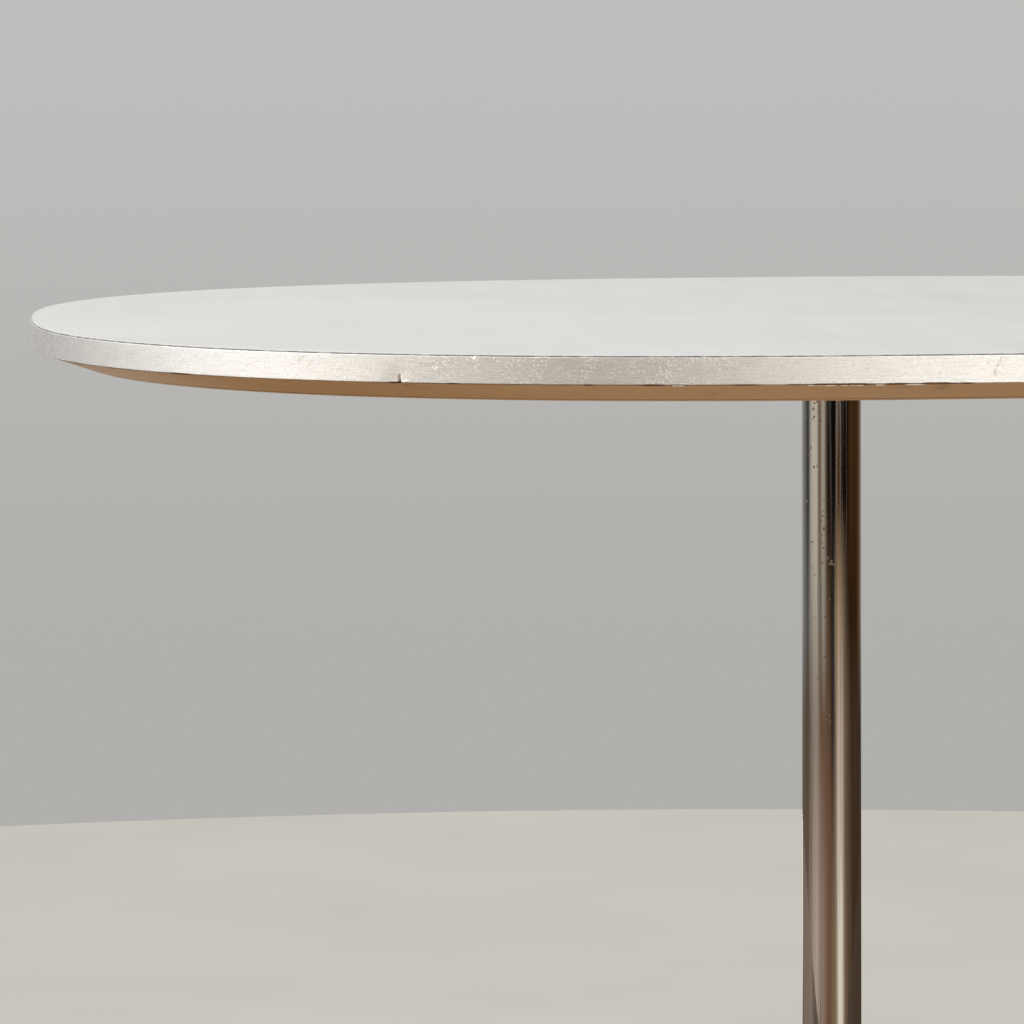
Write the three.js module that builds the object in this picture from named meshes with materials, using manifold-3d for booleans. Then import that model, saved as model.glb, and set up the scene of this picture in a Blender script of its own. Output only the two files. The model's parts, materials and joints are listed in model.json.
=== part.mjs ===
// Cafe table with a squared-off round top on a single column and a four-legged star base.
// Millimetres, +Z up, origin on the floor below the middle of the column.
// The outline of the top is a superellipse whose two axes lie along X and Y.

import * as THREE from 'three';
import { mergeVertices } from 'three/addons/utils/BufferGeometryUtils.js';
import Module from 'manifold-3d';

const wasm = await Module();
wasm.setup();

// ---------- driving dimensions ----------

const TABLE_HEIGHT = 720;
const TOP_RADIUS = 375; // half the width of the top along X and along Y
const SQUARENESS = 2.5; // exponent of the superellipse: 2 is a circle
const TOP_THICKNESS = 20;
const OUTLINE_SEGMENTS = 96;

const GAP = 0.3; // free space between neighbouring pieces
const GLUE = 0.1; // glue line between flat sheets

const LAMINATE_THICKNESS = 0.8;
const LAMINATE_SETBACK = 0.7; // the laminate's edge lies this far inside the band's face
const BACKING_THICKNESS = 0.7;

const BAND_DEPTH = 12; // from the table's surface to the band's lower edge
const BAND_THICKNESS = 3;
const TONGUE_LENGTH = 6;
const TONGUE_THICKNESS = 2;
const BAND_SEAM = 0.4;

const BEVEL_INSET = 24; // from the outline to the flat underside
const BEVEL_STEP = 0.6; // the bevel starts this far inside the band's face

const PLATE_WIDTH = 180;
const PLATE_CORNER = 20;
const PLATE_THICKNESS = 4;
const WOOD_SCREW_RADIUS = 2.25;
const WOOD_SCREW_HEAD_RADIUS = 4.5;
const WOOD_SCREW_HEAD_HEIGHT = 2.6;
const WOOD_SCREW_DEPTH = 12; // how far the screw goes into the board
const WOOD_SCREW_OUTER = 74; // screw positions along the plate's diagonals and axes

const SPIGOT_FLANGE_RADIUS = 32;
const SPIGOT_FLANGE_HEIGHT = 6;
const SPIGOT_LENGTH = 30; // how far the spigot goes down inside the column tube

const COLUMN_RADIUS = 14;
const COLUMN_WALL = 2;

const ROD_RADIUS = 5;
const ROD_HEAD_RADIUS = 11;
const ROD_HEAD_HEIGHT = 5;

const HUB_RADIUS = 38;
const HUB_BOTTOM = 22;
const HUB_SHOULDER = 68;
const HUB_TOP = 88;
const HUB_NECK_RADIUS = 20.5;
const CAVITY_TOP = 52;
const CAVITY_WIDTH = 50; // across the flats that the leg bolts bear on
const CAVITY_RADIUS = 30;
const COLUMN_SEAT = 58;

const COLLAR_RADIUS = 18.5;
const COLLAR_HEIGHT = 7;

const LEG_COUNT = 4;
const LEG_ROOT = 33; // radius of the flat that the leg's inner end meets
const LEG_TIP = 312;
const LEG_ROOT_WIDTH = 26;
const LEG_TIP_WIDTH = 20;
const LEG_ROOT_BOTTOM = 26;
const LEG_ROOT_TOP = 66;
const LEG_TIP_BOTTOM = 15.6;
const LEG_TIP_TOP = 33;
const LEG_CURVE = 1.8; // how quickly the leg's upper edge falls away from the hub
const LEG_BOLT_HEIGHT = 43;

const BOLT_RADIUS = 4;
const BOLT_HEAD_RADIUS = 6.5;
const BOLT_HEAD_HEIGHT = 8;
const BOLT_LENGTH = 28;
const WASHER_RADIUS = 8;
const WASHER_THICKNESS = 1.6;

const ROD_WASHER_RADIUS = 15;
const ROD_WASHER_THICKNESS = 2;
const ROD_NUT_WIDTH = 17;
const ROD_NUT_HEIGHT = 8;
const ROD_TAIL = 6; // how far the rod stands below its nut

const COVER_FLANGE_RADIUS = 34;
const COVER_FLANGE_THICKNESS = 2.5;
const COVER_RIM_WIDTH = 49;
const COVER_RIM_HEIGHT = 5;

const GLIDE_RADIUS = 298; // distance of each glide from the column's axis
const INSERT_RADIUS = 6.5;
const INSERT_LENGTH = 14;
const SPINDLE_RADIUS = 4;
const SPINDLE_TOP = 29.5;
const SPINDLE_BOTTOM = 2.6;
const SPINDLE_HEX_WIDTH = 13;
const SPINDLE_HEX_BOTTOM = 7.5;
const SPINDLE_HEX_HEIGHT = 3.5;
const LOCK_NUT_HEIGHT = 4;
const THREAD_CLEARANCE = 0.25;
const PAD_RADIUS = 16;
const PAD_HEIGHT = 7.2;

// heights that follow from the dimensions above

const LAMINATE_BOTTOM = TABLE_HEIGHT - LAMINATE_THICKNESS;
const BAND_TOP = LAMINATE_BOTTOM - GLUE;
const BAND_BOTTOM = TABLE_HEIGHT - BAND_DEPTH;
const BAND_MIDDLE = (BAND_TOP + BAND_BOTTOM) / 2;
const UNDERSIDE = TABLE_HEIGHT - TOP_THICKNESS;
const BOARD_BOTTOM = UNDERSIDE + BACKING_THICKNESS + GLUE;
const PLATE_TOP = UNDERSIDE - GLUE;
const PLATE_BOTTOM = PLATE_TOP - PLATE_THICKNESS;
const SPIGOT_TOP = PLATE_BOTTOM - GLUE;
const SPIGOT_SHOULDER = SPIGOT_TOP - SPIGOT_FLANGE_HEIGHT;
const COLUMN_TOP = SPIGOT_SHOULDER - GAP;
const ROD_WASHER_TOP = CAVITY_TOP - GLUE;
const ROD_NUT_TOP = ROD_WASHER_TOP - ROD_WASHER_THICKNESS - GLUE;
const LOCK_NUT_TOP = LEG_TIP_BOTTOM - GAP;

// ---------- materials ----------

function finish(color, roughness, metalness) {
  return new THREE.MeshStandardMaterial({ color, roughness, metalness });
}

const laminateFinish = finish(0xe0dfda, 0.5, 0);
const brownFinish = finish(0x96724e, 0.45, 0);
const backingFinish = finish(0x7a6048, 0.6, 0);
const aluminiumFinish = finish(0xc9c7c2, 0.35, 1);
const chromeFinish = finish(0xc4c2be, 0.08, 1);
const zincFinish = finish(0x9d9d9a, 0.4, 1);
const plasticFinish = finish(0x1c1c1c, 0.6, 0);

// ---------- solids ----------

// A closed solid from a geometry whose shared corners are still separate.
function solidOf(geometry) {
  const bare = geometry.index ? geometry.toNonIndexed() : geometry.clone();
  bare.deleteAttribute('normal');
  bare.deleteAttribute('uv');
  const merged = mergeVertices(bare, 1e-4);
  const corners = merged.index.array;
  const kept = [];
  for (let i = 0; i < corners.length; i += 3) {
    const [a, b, c] = [corners[i], corners[i + 1], corners[i + 2]];
    if (a !== b && b !== c && c !== a) kept.push(a, b, c);
  }
  const mesh = new wasm.Mesh({
    numProp: 3,
    vertProperties: new Float32Array(merged.attributes.position.array),
    triVerts: new Uint32Array(kept),
  });
  return new wasm.Manifold(mesh);
}

function geometryOf(solid) {
  const mesh = solid.getMesh();
  const geometry = new THREE.BufferGeometry();
  geometry.setAttribute('position', new THREE.BufferAttribute(mesh.vertProperties, 3));
  geometry.setIndex(new THREE.BufferAttribute(mesh.triVerts, 1));
  return geometry;
}

function without(solid, cutters) {
  return cutters.reduce((rest, cutter) => rest.subtract(cutter), solid);
}

// A body of revolution about Z. The profile is a list of [radius, height], counter-clockwise,
// which starts and ends on the axis or closes on itself.
function turned(profile, segments = 28) {
  const points = profile.map(([radius, height]) => new THREE.Vector2(radius, height));
  const onAxis = profile[0][0] === 0;
  if (!onAxis) points.push(points[0].clone());
  const geometry = new THREE.LatheGeometry(points, segments);
  geometry.rotateX(Math.PI / 2);
  return geometry;
}

function disc(radius, bottom, top, segments = 28) {
  return turned([[0, bottom], [radius, bottom], [radius, top], [0, top]], segments);
}

function ring(inner, outer, bottom, top, segments = 28) {
  return turned([[inner, bottom], [outer, bottom], [outer, top], [inner, top]], segments);
}

function peg(radius, bottom, top, x = 0, y = 0, segments = 16) {
  return solidOf(disc(radius, bottom, top, segments).translate(x, y, 0));
}

// A hexagonal prism, measured across its flats.
function hexagon(width, bottom, top) {
  return disc(width / Math.sqrt(3), bottom, top, 6);
}

function block(xSize, ySize, bottom, top) {
  const geometry = new THREE.BoxGeometry(xSize, ySize, top - bottom);
  return geometry.translate(0, 0, (bottom + top) / 2);
}

// Turns a body of revolution into one with the squared-off outline of the top.
function squared(geometry) {
  const place = geometry.attributes.position;
  for (let i = 0; i < place.count; i += 1) {
    const x = place.getX(i);
    const y = place.getY(i);
    const radius = Math.hypot(x, y);
    if (radius > 0) {
      const sum = Math.abs(x / radius) ** SQUARENESS + Math.abs(y / radius) ** SQUARENESS;
      const stretch = sum ** (-1 / SQUARENESS);
      place.setXY(i, x * stretch, y * stretch);
    }
  }
  return geometry;
}

function squaredTop(profile) {
  return squared(turned(profile, OUTLINE_SEGMENTS));
}

// ---------- the object ----------

const table = new THREE.Group();

function add(name, shape, material, parent = table) {
  const geometry = shape instanceof THREE.BufferGeometry ? shape : geometryOf(shape);
  const mesh = new THREE.Mesh(geometry, material);
  mesh.name = name;
  parent.add(mesh);
  return mesh;
}

function spot(radius, degrees) {
  const angle = THREE.MathUtils.degToRad(degrees);
  return [radius * Math.cos(angle), radius * Math.sin(angle)];
}

// Eight wood screws: four on the plate's axes, four near its corners.
const woodScrewSpots = [];
for (let i = 0; i < 4; i += 1) {
  woodScrewSpots.push(spot(WOOD_SCREW_OUTER, 90 * i));
  woodScrewSpots.push(spot(WOOD_SCREW_OUTER * 1.25, 90 * i + 45));
}

function addTop() {
  const laminateRadius = TOP_RADIUS - LAMINATE_SETBACK;
  const laminate = squaredTop([
    [0, LAMINATE_BOTTOM],
    [laminateRadius, LAMINATE_BOTTOM],
    [laminateRadius, TABLE_HEIGHT],
    [0, TABLE_HEIGHT],
  ]);
  add('top_laminate', laminate, laminateFinish);

  // the band is a T section: a flat face with a tongue that goes into the board's edge
  const bandInner = TOP_RADIUS - BAND_THICKNESS;
  const tongueInner = bandInner - TONGUE_LENGTH;
  const tongueTop = BAND_MIDDLE + TONGUE_THICKNESS / 2;
  const tongueBottom = BAND_MIDDLE - TONGUE_THICKNESS / 2;
  const band = solidOf(squaredTop([
    [bandInner, BAND_BOTTOM],
    [TOP_RADIUS, BAND_BOTTOM],
    [TOP_RADIUS, BAND_TOP],
    [bandInner, BAND_TOP],
    [bandInner, tongueTop],
    [tongueInner, tongueTop],
    [tongueInner, tongueBottom],
    [bandInner, tongueBottom],
  ]));
  const seam = block(BAND_SEAM, 3 * BAND_DEPTH, BAND_BOTTOM - 1, TABLE_HEIGHT);
  add('edge_band', band.subtract(solidOf(seam.translate(0, TOP_RADIUS, 0))), aluminiumFinish);

  const boardRadius = bandInner - GAP;
  const grooveRadius = tongueInner - GAP;
  const ledge = BAND_BOTTOM - GAP;
  const bevelOuter = TOP_RADIUS - BEVEL_STEP;
  const bevelInner = TOP_RADIUS - BEVEL_INSET;
  const bevelSlope = (bevelOuter - bevelInner) / (ledge - UNDERSIDE);
  const board = squaredTop([
    [0, BOARD_BOTTOM],
    [bevelInner + bevelSlope * (BOARD_BOTTOM - UNDERSIDE), BOARD_BOTTOM],
    [bevelOuter, ledge],
    [boardRadius, ledge],
    [boardRadius, tongueBottom - GAP],
    [grooveRadius, tongueBottom - GAP],
    [grooveRadius, tongueTop + GAP],
    [boardRadius, tongueTop + GAP],
    [boardRadius, BAND_TOP],
    [0, BAND_TOP],
  ]);
  const backing = squaredTop([
    [0, UNDERSIDE],
    [bevelInner, UNDERSIDE],
    [bevelInner + bevelSlope * BACKING_THICKNESS, UNDERSIDE + BACKING_THICKNESS],
    [0, UNDERSIDE + BACKING_THICKNESS],
  ]);
  const screwTip = PLATE_TOP + WOOD_SCREW_DEPTH + GAP;
  const holes = woodScrewSpots.map(([x, y]) => (
    peg(WOOD_SCREW_RADIUS + GAP, UNDERSIDE - 1, screwTip, x, y, 12)
  ));
  const headRoom = peg(ROD_HEAD_RADIUS + 2, UNDERSIDE - 1, PLATE_TOP + ROD_HEAD_HEIGHT + 2, 0, 0, 24);
  add('core_board', without(solidOf(board), [...holes, headRoom]), brownFinish);
  add('backing_sheet', without(solidOf(backing), [...holes, headRoom]), backingFinish);
}

function roundedSquare(width, corner) {
  const half = width / 2;
  const inner = half - corner;
  const shape = new THREE.Shape();
  shape.moveTo(-inner, -half);
  shape.lineTo(inner, -half);
  shape.absarc(inner, -inner, corner, -Math.PI / 2, 0);
  shape.absarc(inner, inner, corner, 0, Math.PI / 2);
  shape.absarc(-inner, inner, corner, Math.PI / 2, Math.PI);
  shape.absarc(-inner, -inner, corner, Math.PI, 1.5 * Math.PI);
  return shape;
}

function addTopFixing() {
  const outline = roundedSquare(PLATE_WIDTH, PLATE_CORNER);
  const slab = new THREE.ExtrudeGeometry(outline, {
    depth: PLATE_THICKNESS,
    bevelEnabled: false,
    curveSegments: 6,
  });
  slab.translate(0, 0, PLATE_BOTTOM);
  const holes = woodScrewSpots.map(([x, y]) => (
    peg(WOOD_SCREW_RADIUS + GAP, PLATE_BOTTOM - 1, PLATE_TOP + 1, x, y, 12)
  ));
  const rodHole = peg(ROD_RADIUS + GAP, PLATE_BOTTOM - 1, PLATE_TOP + 1, 0, 0, 24);
  add('mounting_plate', without(solidOf(slab), [...holes, rodHole]), zincFinish);

  woodScrewSpots.forEach(([x, y], index) => {
    const seat = PLATE_BOTTOM - GLUE;
    const screw = turned([
      [0, seat - WOOD_SCREW_HEAD_HEIGHT],
      [WOOD_SCREW_HEAD_RADIUS * 0.6, seat - WOOD_SCREW_HEAD_HEIGHT],
      [WOOD_SCREW_HEAD_RADIUS, seat - 0.8],
      [WOOD_SCREW_HEAD_RADIUS, seat],
      [WOOD_SCREW_RADIUS, seat],
      [WOOD_SCREW_RADIUS, PLATE_TOP + WOOD_SCREW_DEPTH - 3],
      [0, PLATE_TOP + WOOD_SCREW_DEPTH],
    ], 12);
    screw.translate(x, y, 0);
    add(`plate_screw_${index + 1}`, screw, zincFinish);
  });

  const spigotRadius = COLUMN_RADIUS - COLUMN_WALL - GAP;
  const spigot = turned([
    [ROD_RADIUS + GAP, SPIGOT_SHOULDER - SPIGOT_LENGTH],
    [spigotRadius - 1, SPIGOT_SHOULDER - SPIGOT_LENGTH],
    [spigotRadius, SPIGOT_SHOULDER - SPIGOT_LENGTH + 1],
    [spigotRadius, SPIGOT_SHOULDER],
    [SPIGOT_FLANGE_RADIUS, SPIGOT_SHOULDER],
    [SPIGOT_FLANGE_RADIUS, SPIGOT_TOP],
    [ROD_RADIUS + GAP, SPIGOT_TOP],
  ]);
  add('top_spigot', spigot, zincFinish);
}

function addColumn() {
  const tube = ring(COLUMN_RADIUS - COLUMN_WALL, COLUMN_RADIUS, COLUMN_SEAT + GAP, COLUMN_TOP, 40);
  add('column_tube', tube, chromeFinish);

  const headBottom = PLATE_TOP + GLUE;
  const rodBottom = ROD_NUT_TOP - ROD_NUT_HEIGHT - ROD_TAIL;
  const rod = turned([
    [0, rodBottom],
    [ROD_RADIUS - 1, rodBottom],
    [ROD_RADIUS, rodBottom + 1],
    [ROD_RADIUS, headBottom],
    [ROD_HEAD_RADIUS, headBottom],
    [ROD_HEAD_RADIUS * 0.7, headBottom + ROD_HEAD_HEIGHT],
    [0, headBottom + ROD_HEAD_HEIGHT],
  ], 20);
  add('tie_rod', rod, zincFinish);

  const washer = ring(
    ROD_RADIUS + GAP,
    ROD_WASHER_RADIUS,
    ROD_WASHER_TOP - ROD_WASHER_THICKNESS,
    ROD_WASHER_TOP,
  );
  add('tie_rod_washer', washer, zincFinish);

  const nut = solidOf(hexagon(ROD_NUT_WIDTH, ROD_NUT_TOP - ROD_NUT_HEIGHT, ROD_NUT_TOP));
  const nutBore = peg(ROD_RADIUS + GAP, ROD_NUT_TOP - ROD_NUT_HEIGHT - 1, ROD_NUT_TOP + 1, 0, 0, 24);
  add('tie_rod_nut', nut.subtract(nutBore), zincFinish);

  const collar = turned([
    [COLUMN_RADIUS + GAP, HUB_TOP + GAP],
    [COLLAR_RADIUS, HUB_TOP + GAP],
    [COLLAR_RADIUS, HUB_TOP + COLLAR_HEIGHT - 2],
    [COLLAR_RADIUS - 2, HUB_TOP + COLLAR_HEIGHT],
    [COLUMN_RADIUS + GAP, HUB_TOP + COLLAR_HEIGHT],
  ]);
  add('column_collar', collar, chromeFinish);
}

// A cutter or piece that is drawn on +X, turned to the direction of leg number index.
function legAngle(index) {
  return Math.PI / 4 + index * (2 * Math.PI / LEG_COUNT);
}

// A cylinder that lies along +X, from one distance to another, at a given height.
function crossPeg(radius, from, to, height, segments = 16) {
  const geometry = new THREE.CylinderGeometry(radius, radius, to - from, segments);
  geometry.rotateZ(-Math.PI / 2);
  geometry.translate((from + to) / 2, 0, height);
  return geometry;
}

function addHub() {
  let hub = solidOf(turned([
    [ROD_RADIUS + GAP, HUB_BOTTOM],
    [HUB_RADIUS - 1.5, HUB_BOTTOM],
    [HUB_RADIUS, HUB_BOTTOM + 1.5],
    [HUB_RADIUS, HUB_SHOULDER],
    [HUB_RADIUS - 3, HUB_SHOULDER + 4],
    [HUB_NECK_RADIUS + 2, HUB_TOP - 8],
    [HUB_NECK_RADIUS, HUB_TOP - 4],
    [HUB_NECK_RADIUS, HUB_TOP],
    [COLUMN_RADIUS + GAP, HUB_TOP],
    [COLUMN_RADIUS + GAP, COLUMN_SEAT],
    [ROD_RADIUS + GAP, COLUMN_SEAT],
  ], 48));
  const square = solidOf(
    block(CAVITY_WIDTH, CAVITY_WIDTH, HUB_BOTTOM - 1, CAVITY_TOP).rotateZ(legAngle(0)),
  );
  const round = peg(CAVITY_RADIUS, HUB_BOTTOM - 1, CAVITY_TOP, 0, 0, 40);
  hub = hub.subtract(square.intersect(round));
  for (let i = 0; i < LEG_COUNT; i += 1) {
    const pocketWidth = LEG_ROOT_WIDTH + 2 * GAP;
    const pocket = block(HUB_RADIUS, pocketWidth, LEG_ROOT_BOTTOM - GAP, LEG_ROOT_TOP + GAP);
    pocket.translate(LEG_ROOT + HUB_RADIUS / 2, 0, 0).rotateZ(legAngle(i));
    const boltHole = crossPeg(BOLT_RADIUS + GAP, CAVITY_WIDTH / 2 - 5, HUB_RADIUS, LEG_BOLT_HEIGHT);
    boltHole.rotateZ(legAngle(i));
    hub = without(hub, [solidOf(pocket), solidOf(boltHole)]);
  }
  add('base_hub', hub, chromeFinish);

  const flangeTop = HUB_BOTTOM - GLUE;
  const flange = solidOf(turned([
    [0, flangeTop - COVER_FLANGE_THICKNESS],
    [COVER_FLANGE_RADIUS - 1.5, flangeTop - COVER_FLANGE_THICKNESS],
    [COVER_FLANGE_RADIUS, flangeTop - 1],
    [COVER_FLANGE_RADIUS, flangeTop],
    [0, flangeTop],
  ], 40));
  const rimTop = flangeTop + COVER_RIM_HEIGHT;
  const rimBlock = solidOf(
    block(COVER_RIM_WIDTH, COVER_RIM_WIDTH, flangeTop - 1, rimTop).rotateZ(legAngle(0)),
  );
  const rimRound = peg(CAVITY_RADIUS - GAP, flangeTop - 1, rimTop, 0, 0, 40);
  const rimHollow = peg(COVER_RIM_WIDTH / 2 - 2, flangeTop, rimTop + 1, 0, 0, 32);
  const rim = rimBlock.intersect(rimRound).subtract(rimHollow);
  add('hub_cover', flange.add(rim), plasticFinish);
}

// Height of the leg's upper edge at a distance from the column's axis.
function legTop(distance) {
  const along = (distance - LEG_ROOT) / (LEG_TIP - LEG_ROOT);
  return LEG_TIP_TOP + (LEG_ROOT_TOP - LEG_TIP_TOP) * (1 - along) ** LEG_CURVE;
}

// One leg on +X: its side view, cut by its tapered, round-ended plan.
function legSolid() {
  const root = LEG_ROOT + GAP;
  const steps = 14;
  const side = new THREE.Shape();
  side.moveTo(root, LEG_ROOT_BOTTOM);
  side.lineTo(LEG_TIP, LEG_TIP_BOTTOM);
  side.lineTo(LEG_TIP, LEG_TIP_TOP - 5);
  side.lineTo(LEG_TIP - 5, LEG_TIP_TOP);
  for (let i = 1; i <= steps; i += 1) {
    const distance = LEG_TIP - 5 + (root - LEG_TIP + 5) * (i / steps);
    side.lineTo(distance, legTop(distance));
  }
  const slab = new THREE.ExtrudeGeometry(side, { depth: LEG_ROOT_WIDTH + 4, bevelEnabled: false });
  slab.rotateX(Math.PI / 2).translate(0, LEG_ROOT_WIDTH / 2 + 2, 0);

  const tipRadius = LEG_TIP_WIDTH / 2;
  const plan = new THREE.Shape();
  plan.moveTo(root, -LEG_ROOT_WIDTH / 2);
  plan.lineTo(HUB_RADIUS, -LEG_ROOT_WIDTH / 2);
  plan.lineTo(LEG_TIP - tipRadius, -tipRadius);
  plan.absarc(LEG_TIP - tipRadius, 0, tipRadius, -Math.PI / 2, Math.PI / 2);
  plan.lineTo(HUB_RADIUS, LEG_ROOT_WIDTH / 2);
  plan.lineTo(root, LEG_ROOT_WIDTH / 2);
  const tall = new THREE.ExtrudeGeometry(plan, {
    depth: LEG_ROOT_TOP + 10,
    bevelEnabled: false,
    curveSegments: 12,
  });

  const boltEnd = CAVITY_WIDTH / 2 + BOLT_LENGTH + 1;
  const boltHole = crossPeg(BOLT_RADIUS + GAP, LEG_ROOT - 2, boltEnd, LEG_BOLT_HEIGHT);
  const insertTop = LEG_TIP_BOTTOM + INSERT_LENGTH + 2 * GAP;
  const insertHole = peg(INSERT_RADIUS + GAP, LEG_TIP_BOTTOM - 2, insertTop, GLIDE_RADIUS, 0, 20);
  return without(solidOf(slab).intersect(solidOf(tall)), [solidOf(boltHole), insertHole]);
}

function addLegs() {
  const leg = geometryOf(legSolid());
  for (let i = 0; i < LEG_COUNT; i += 1) {
    const arm = new THREE.Group();
    arm.rotation.z = legAngle(i);
    table.add(arm);
    const number = i + 1;
    add(`leg_${number}`, leg, chromeFinish, arm);

    const washerOuter = CAVITY_WIDTH / 2 - GLUE;
    const washerInner = washerOuter - WASHER_THICKNESS;
    const washer = solidOf(crossPeg(WASHER_RADIUS, washerInner, washerOuter, LEG_BOLT_HEIGHT));
    const bore = crossPeg(BOLT_RADIUS + GAP, washerInner - 1, washerOuter + 1, LEG_BOLT_HEIGHT);
    add(`leg_washer_${number}`, washer.subtract(solidOf(bore)), zincFinish, arm);

    const headOuter = washerInner - GLUE;
    const head = crossPeg(BOLT_HEAD_RADIUS, headOuter - BOLT_HEAD_HEIGHT, headOuter, LEG_BOLT_HEIGHT);
    const shank = crossPeg(BOLT_RADIUS, headOuter - 1, headOuter + BOLT_LENGTH, LEG_BOLT_HEIGHT);
    add(`leg_bolt_${number}`, solidOf(head).add(solidOf(shank)), zincFinish, arm);

    addGlide(number, arm);
  }
}

// A levelling glide: an insert and a lock nut on the leg, a spindle that screws in them,
// and a pad that the spindle turns in.
function addGlide(number, arm) {
  const insertBottom = LEG_TIP_BOTTOM + GAP;
  const bore = SPINDLE_RADIUS + THREAD_CLEARANCE;
  const insert = ring(bore, INSERT_RADIUS, insertBottom, insertBottom + INSERT_LENGTH, 16);
  add(`glide_insert_${number}`, insert.translate(GLIDE_RADIUS, 0, 0), zincFinish, arm);

  const nutBottom = LOCK_NUT_TOP - LOCK_NUT_HEIGHT;
  const nut = solidOf(hexagon(SPINDLE_HEX_WIDTH, nutBottom, LOCK_NUT_TOP));
  const nutBore = peg(bore, nutBottom - 1, LOCK_NUT_TOP + 1);
  const lockNut = geometryOf(nut.subtract(nutBore)).translate(GLIDE_RADIUS, 0, 0);
  add(`glide_lock_nut_${number}`, lockNut, zincFinish, arm);

  const hexTop = SPINDLE_HEX_BOTTOM + SPINDLE_HEX_HEIGHT;
  const stem = peg(SPINDLE_RADIUS, SPINDLE_BOTTOM, SPINDLE_TOP);
  const hex = solidOf(hexagon(SPINDLE_HEX_WIDTH, SPINDLE_HEX_BOTTOM, hexTop));
  const spindle = geometryOf(stem.add(hex)).translate(GLIDE_RADIUS, 0, 0);
  add(`glide_spindle_${number}`, spindle, zincFinish, arm);

  const pad = turned([
    [0, 0],
    [PAD_RADIUS - 1.5, 0],
    [PAD_RADIUS, 1.5],
    [PAD_RADIUS, 3.5],
    [PAD_RADIUS - 6, PAD_HEIGHT],
    [bore, PAD_HEIGHT],
    [bore, SPINDLE_BOTTOM - GAP],
    [0, SPINDLE_BOTTOM - GAP],
  ], 20);
  add(`glide_pad_${number}`, pad.translate(GLIDE_RADIUS, 0, 0), plasticFinish, arm);
}

addTop();
addTopFixing();
addColumn();
addHub();
addLegs();

export default table;
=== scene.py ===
import json
import math

import bpy
from mathutils import Matrix, Vector


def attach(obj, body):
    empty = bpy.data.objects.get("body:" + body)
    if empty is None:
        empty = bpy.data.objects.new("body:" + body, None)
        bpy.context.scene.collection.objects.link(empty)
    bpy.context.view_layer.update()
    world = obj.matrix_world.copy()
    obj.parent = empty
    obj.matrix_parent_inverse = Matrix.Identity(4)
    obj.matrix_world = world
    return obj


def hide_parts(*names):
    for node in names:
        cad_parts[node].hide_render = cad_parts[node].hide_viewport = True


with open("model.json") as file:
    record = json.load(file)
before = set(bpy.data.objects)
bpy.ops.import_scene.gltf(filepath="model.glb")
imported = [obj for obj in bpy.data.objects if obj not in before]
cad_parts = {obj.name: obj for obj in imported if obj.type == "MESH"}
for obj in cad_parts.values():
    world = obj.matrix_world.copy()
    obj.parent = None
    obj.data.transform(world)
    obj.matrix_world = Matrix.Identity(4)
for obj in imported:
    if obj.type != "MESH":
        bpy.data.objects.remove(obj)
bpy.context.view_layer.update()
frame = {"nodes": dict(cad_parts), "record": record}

MM = 0.001
SQUARENESS = 2.5  # exponent of the top's superellipse outline
LEG_CURVE = 1.8  # how quickly a leg's upper edge falls away from the hub
ARM_ANGLE = {arm: math.radians(45 + 90 * (arm - 1)) for arm in range(1, 5)}

# Sizes of the CAD model that no node's box gives.
BOLT_HEIGHT = 43 * MM  # of the leg bolts' axes
BOLT_HOLE = 4.3 * MM  # radius
ROD_HOLE = 5.3 * MM  # radius
SCREW_HOLE = 2.6 * MM  # radius of the wood screws' holes in the plate
PLATE_CORNER = 20 * MM  # radius
ROD_WIDTH = 17 * MM  # across the flats of the rod's nut
GLIDE_WIDTH = 13 * MM  # across the flats of a glide's lock nut and of its spindle
GLIDE_BORE = 4.25 * MM  # radius
INSERT_HOLE = 6.6 * MM  # radius
HUB_NECK = 20.5 * MM  # radius
POCKET_HALF = 13.3 * MM  # half the width of the hub's pockets for the legs
POCKET_FLOOR = 25.7 * MM  # their height over the floor
CAVITY_HALF = 25 * MM  # of the hub's square cavity
CAVITY_RADIUS = 30 * MM  # where its corners are cut off
COVER_RIM = 24.4 * MM  # radius of the cover's inner rim
FIT = 0.3 * MM  # room between two parts that fit into each other

scene = bpy.context.scene


# ---------- sizes, read from the CAD model ----------

def span(node, angle=0.0):
    """Lowest and highest corner of a CAD node in axes turned by angle about Z, so that x runs that way."""
    turn = Matrix.Rotation(-angle, 3, "Z")
    points = [turn @ v.co for v in frame["nodes"][node].data.vertices]
    low = Vector([min(p[k] for p in points) for k in range(3)])
    high = Vector([max(p[k] for p in points) for k in range(3)])
    return low, high


def axis_box(node):
    """Radius, lowest and highest height of a CAD node that is centred on the table's axis."""
    low, high = span(node)
    return (high.x - low.x) / 2, low.z, high.z


# ---------- mesh helpers ----------

def spin(angle):
    return Matrix.Rotation(angle, 4, "Z")


def stretch(angle):
    """How far the superellipse lies from its centre at an angle, with half its width as 1."""
    total = abs(math.cos(angle)) ** SQUARENESS + abs(math.sin(angle)) ** SQUARENESS
    return total ** (-1 / SQUARENESS)


def squared(angle, r, z):
    """Gives the outer parts of a turned shape the squared-off outline of the top."""
    return (r * stretch(angle), z) if r > 100 * MM else (r, z)


def smooth_step(low, high, value):
    t = min(max((value - low) / (high - low), 0), 1)
    return t * t * (3 - 2 * t)


def bell(distance, width):
    return math.exp(-((distance / width) ** 2))


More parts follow.
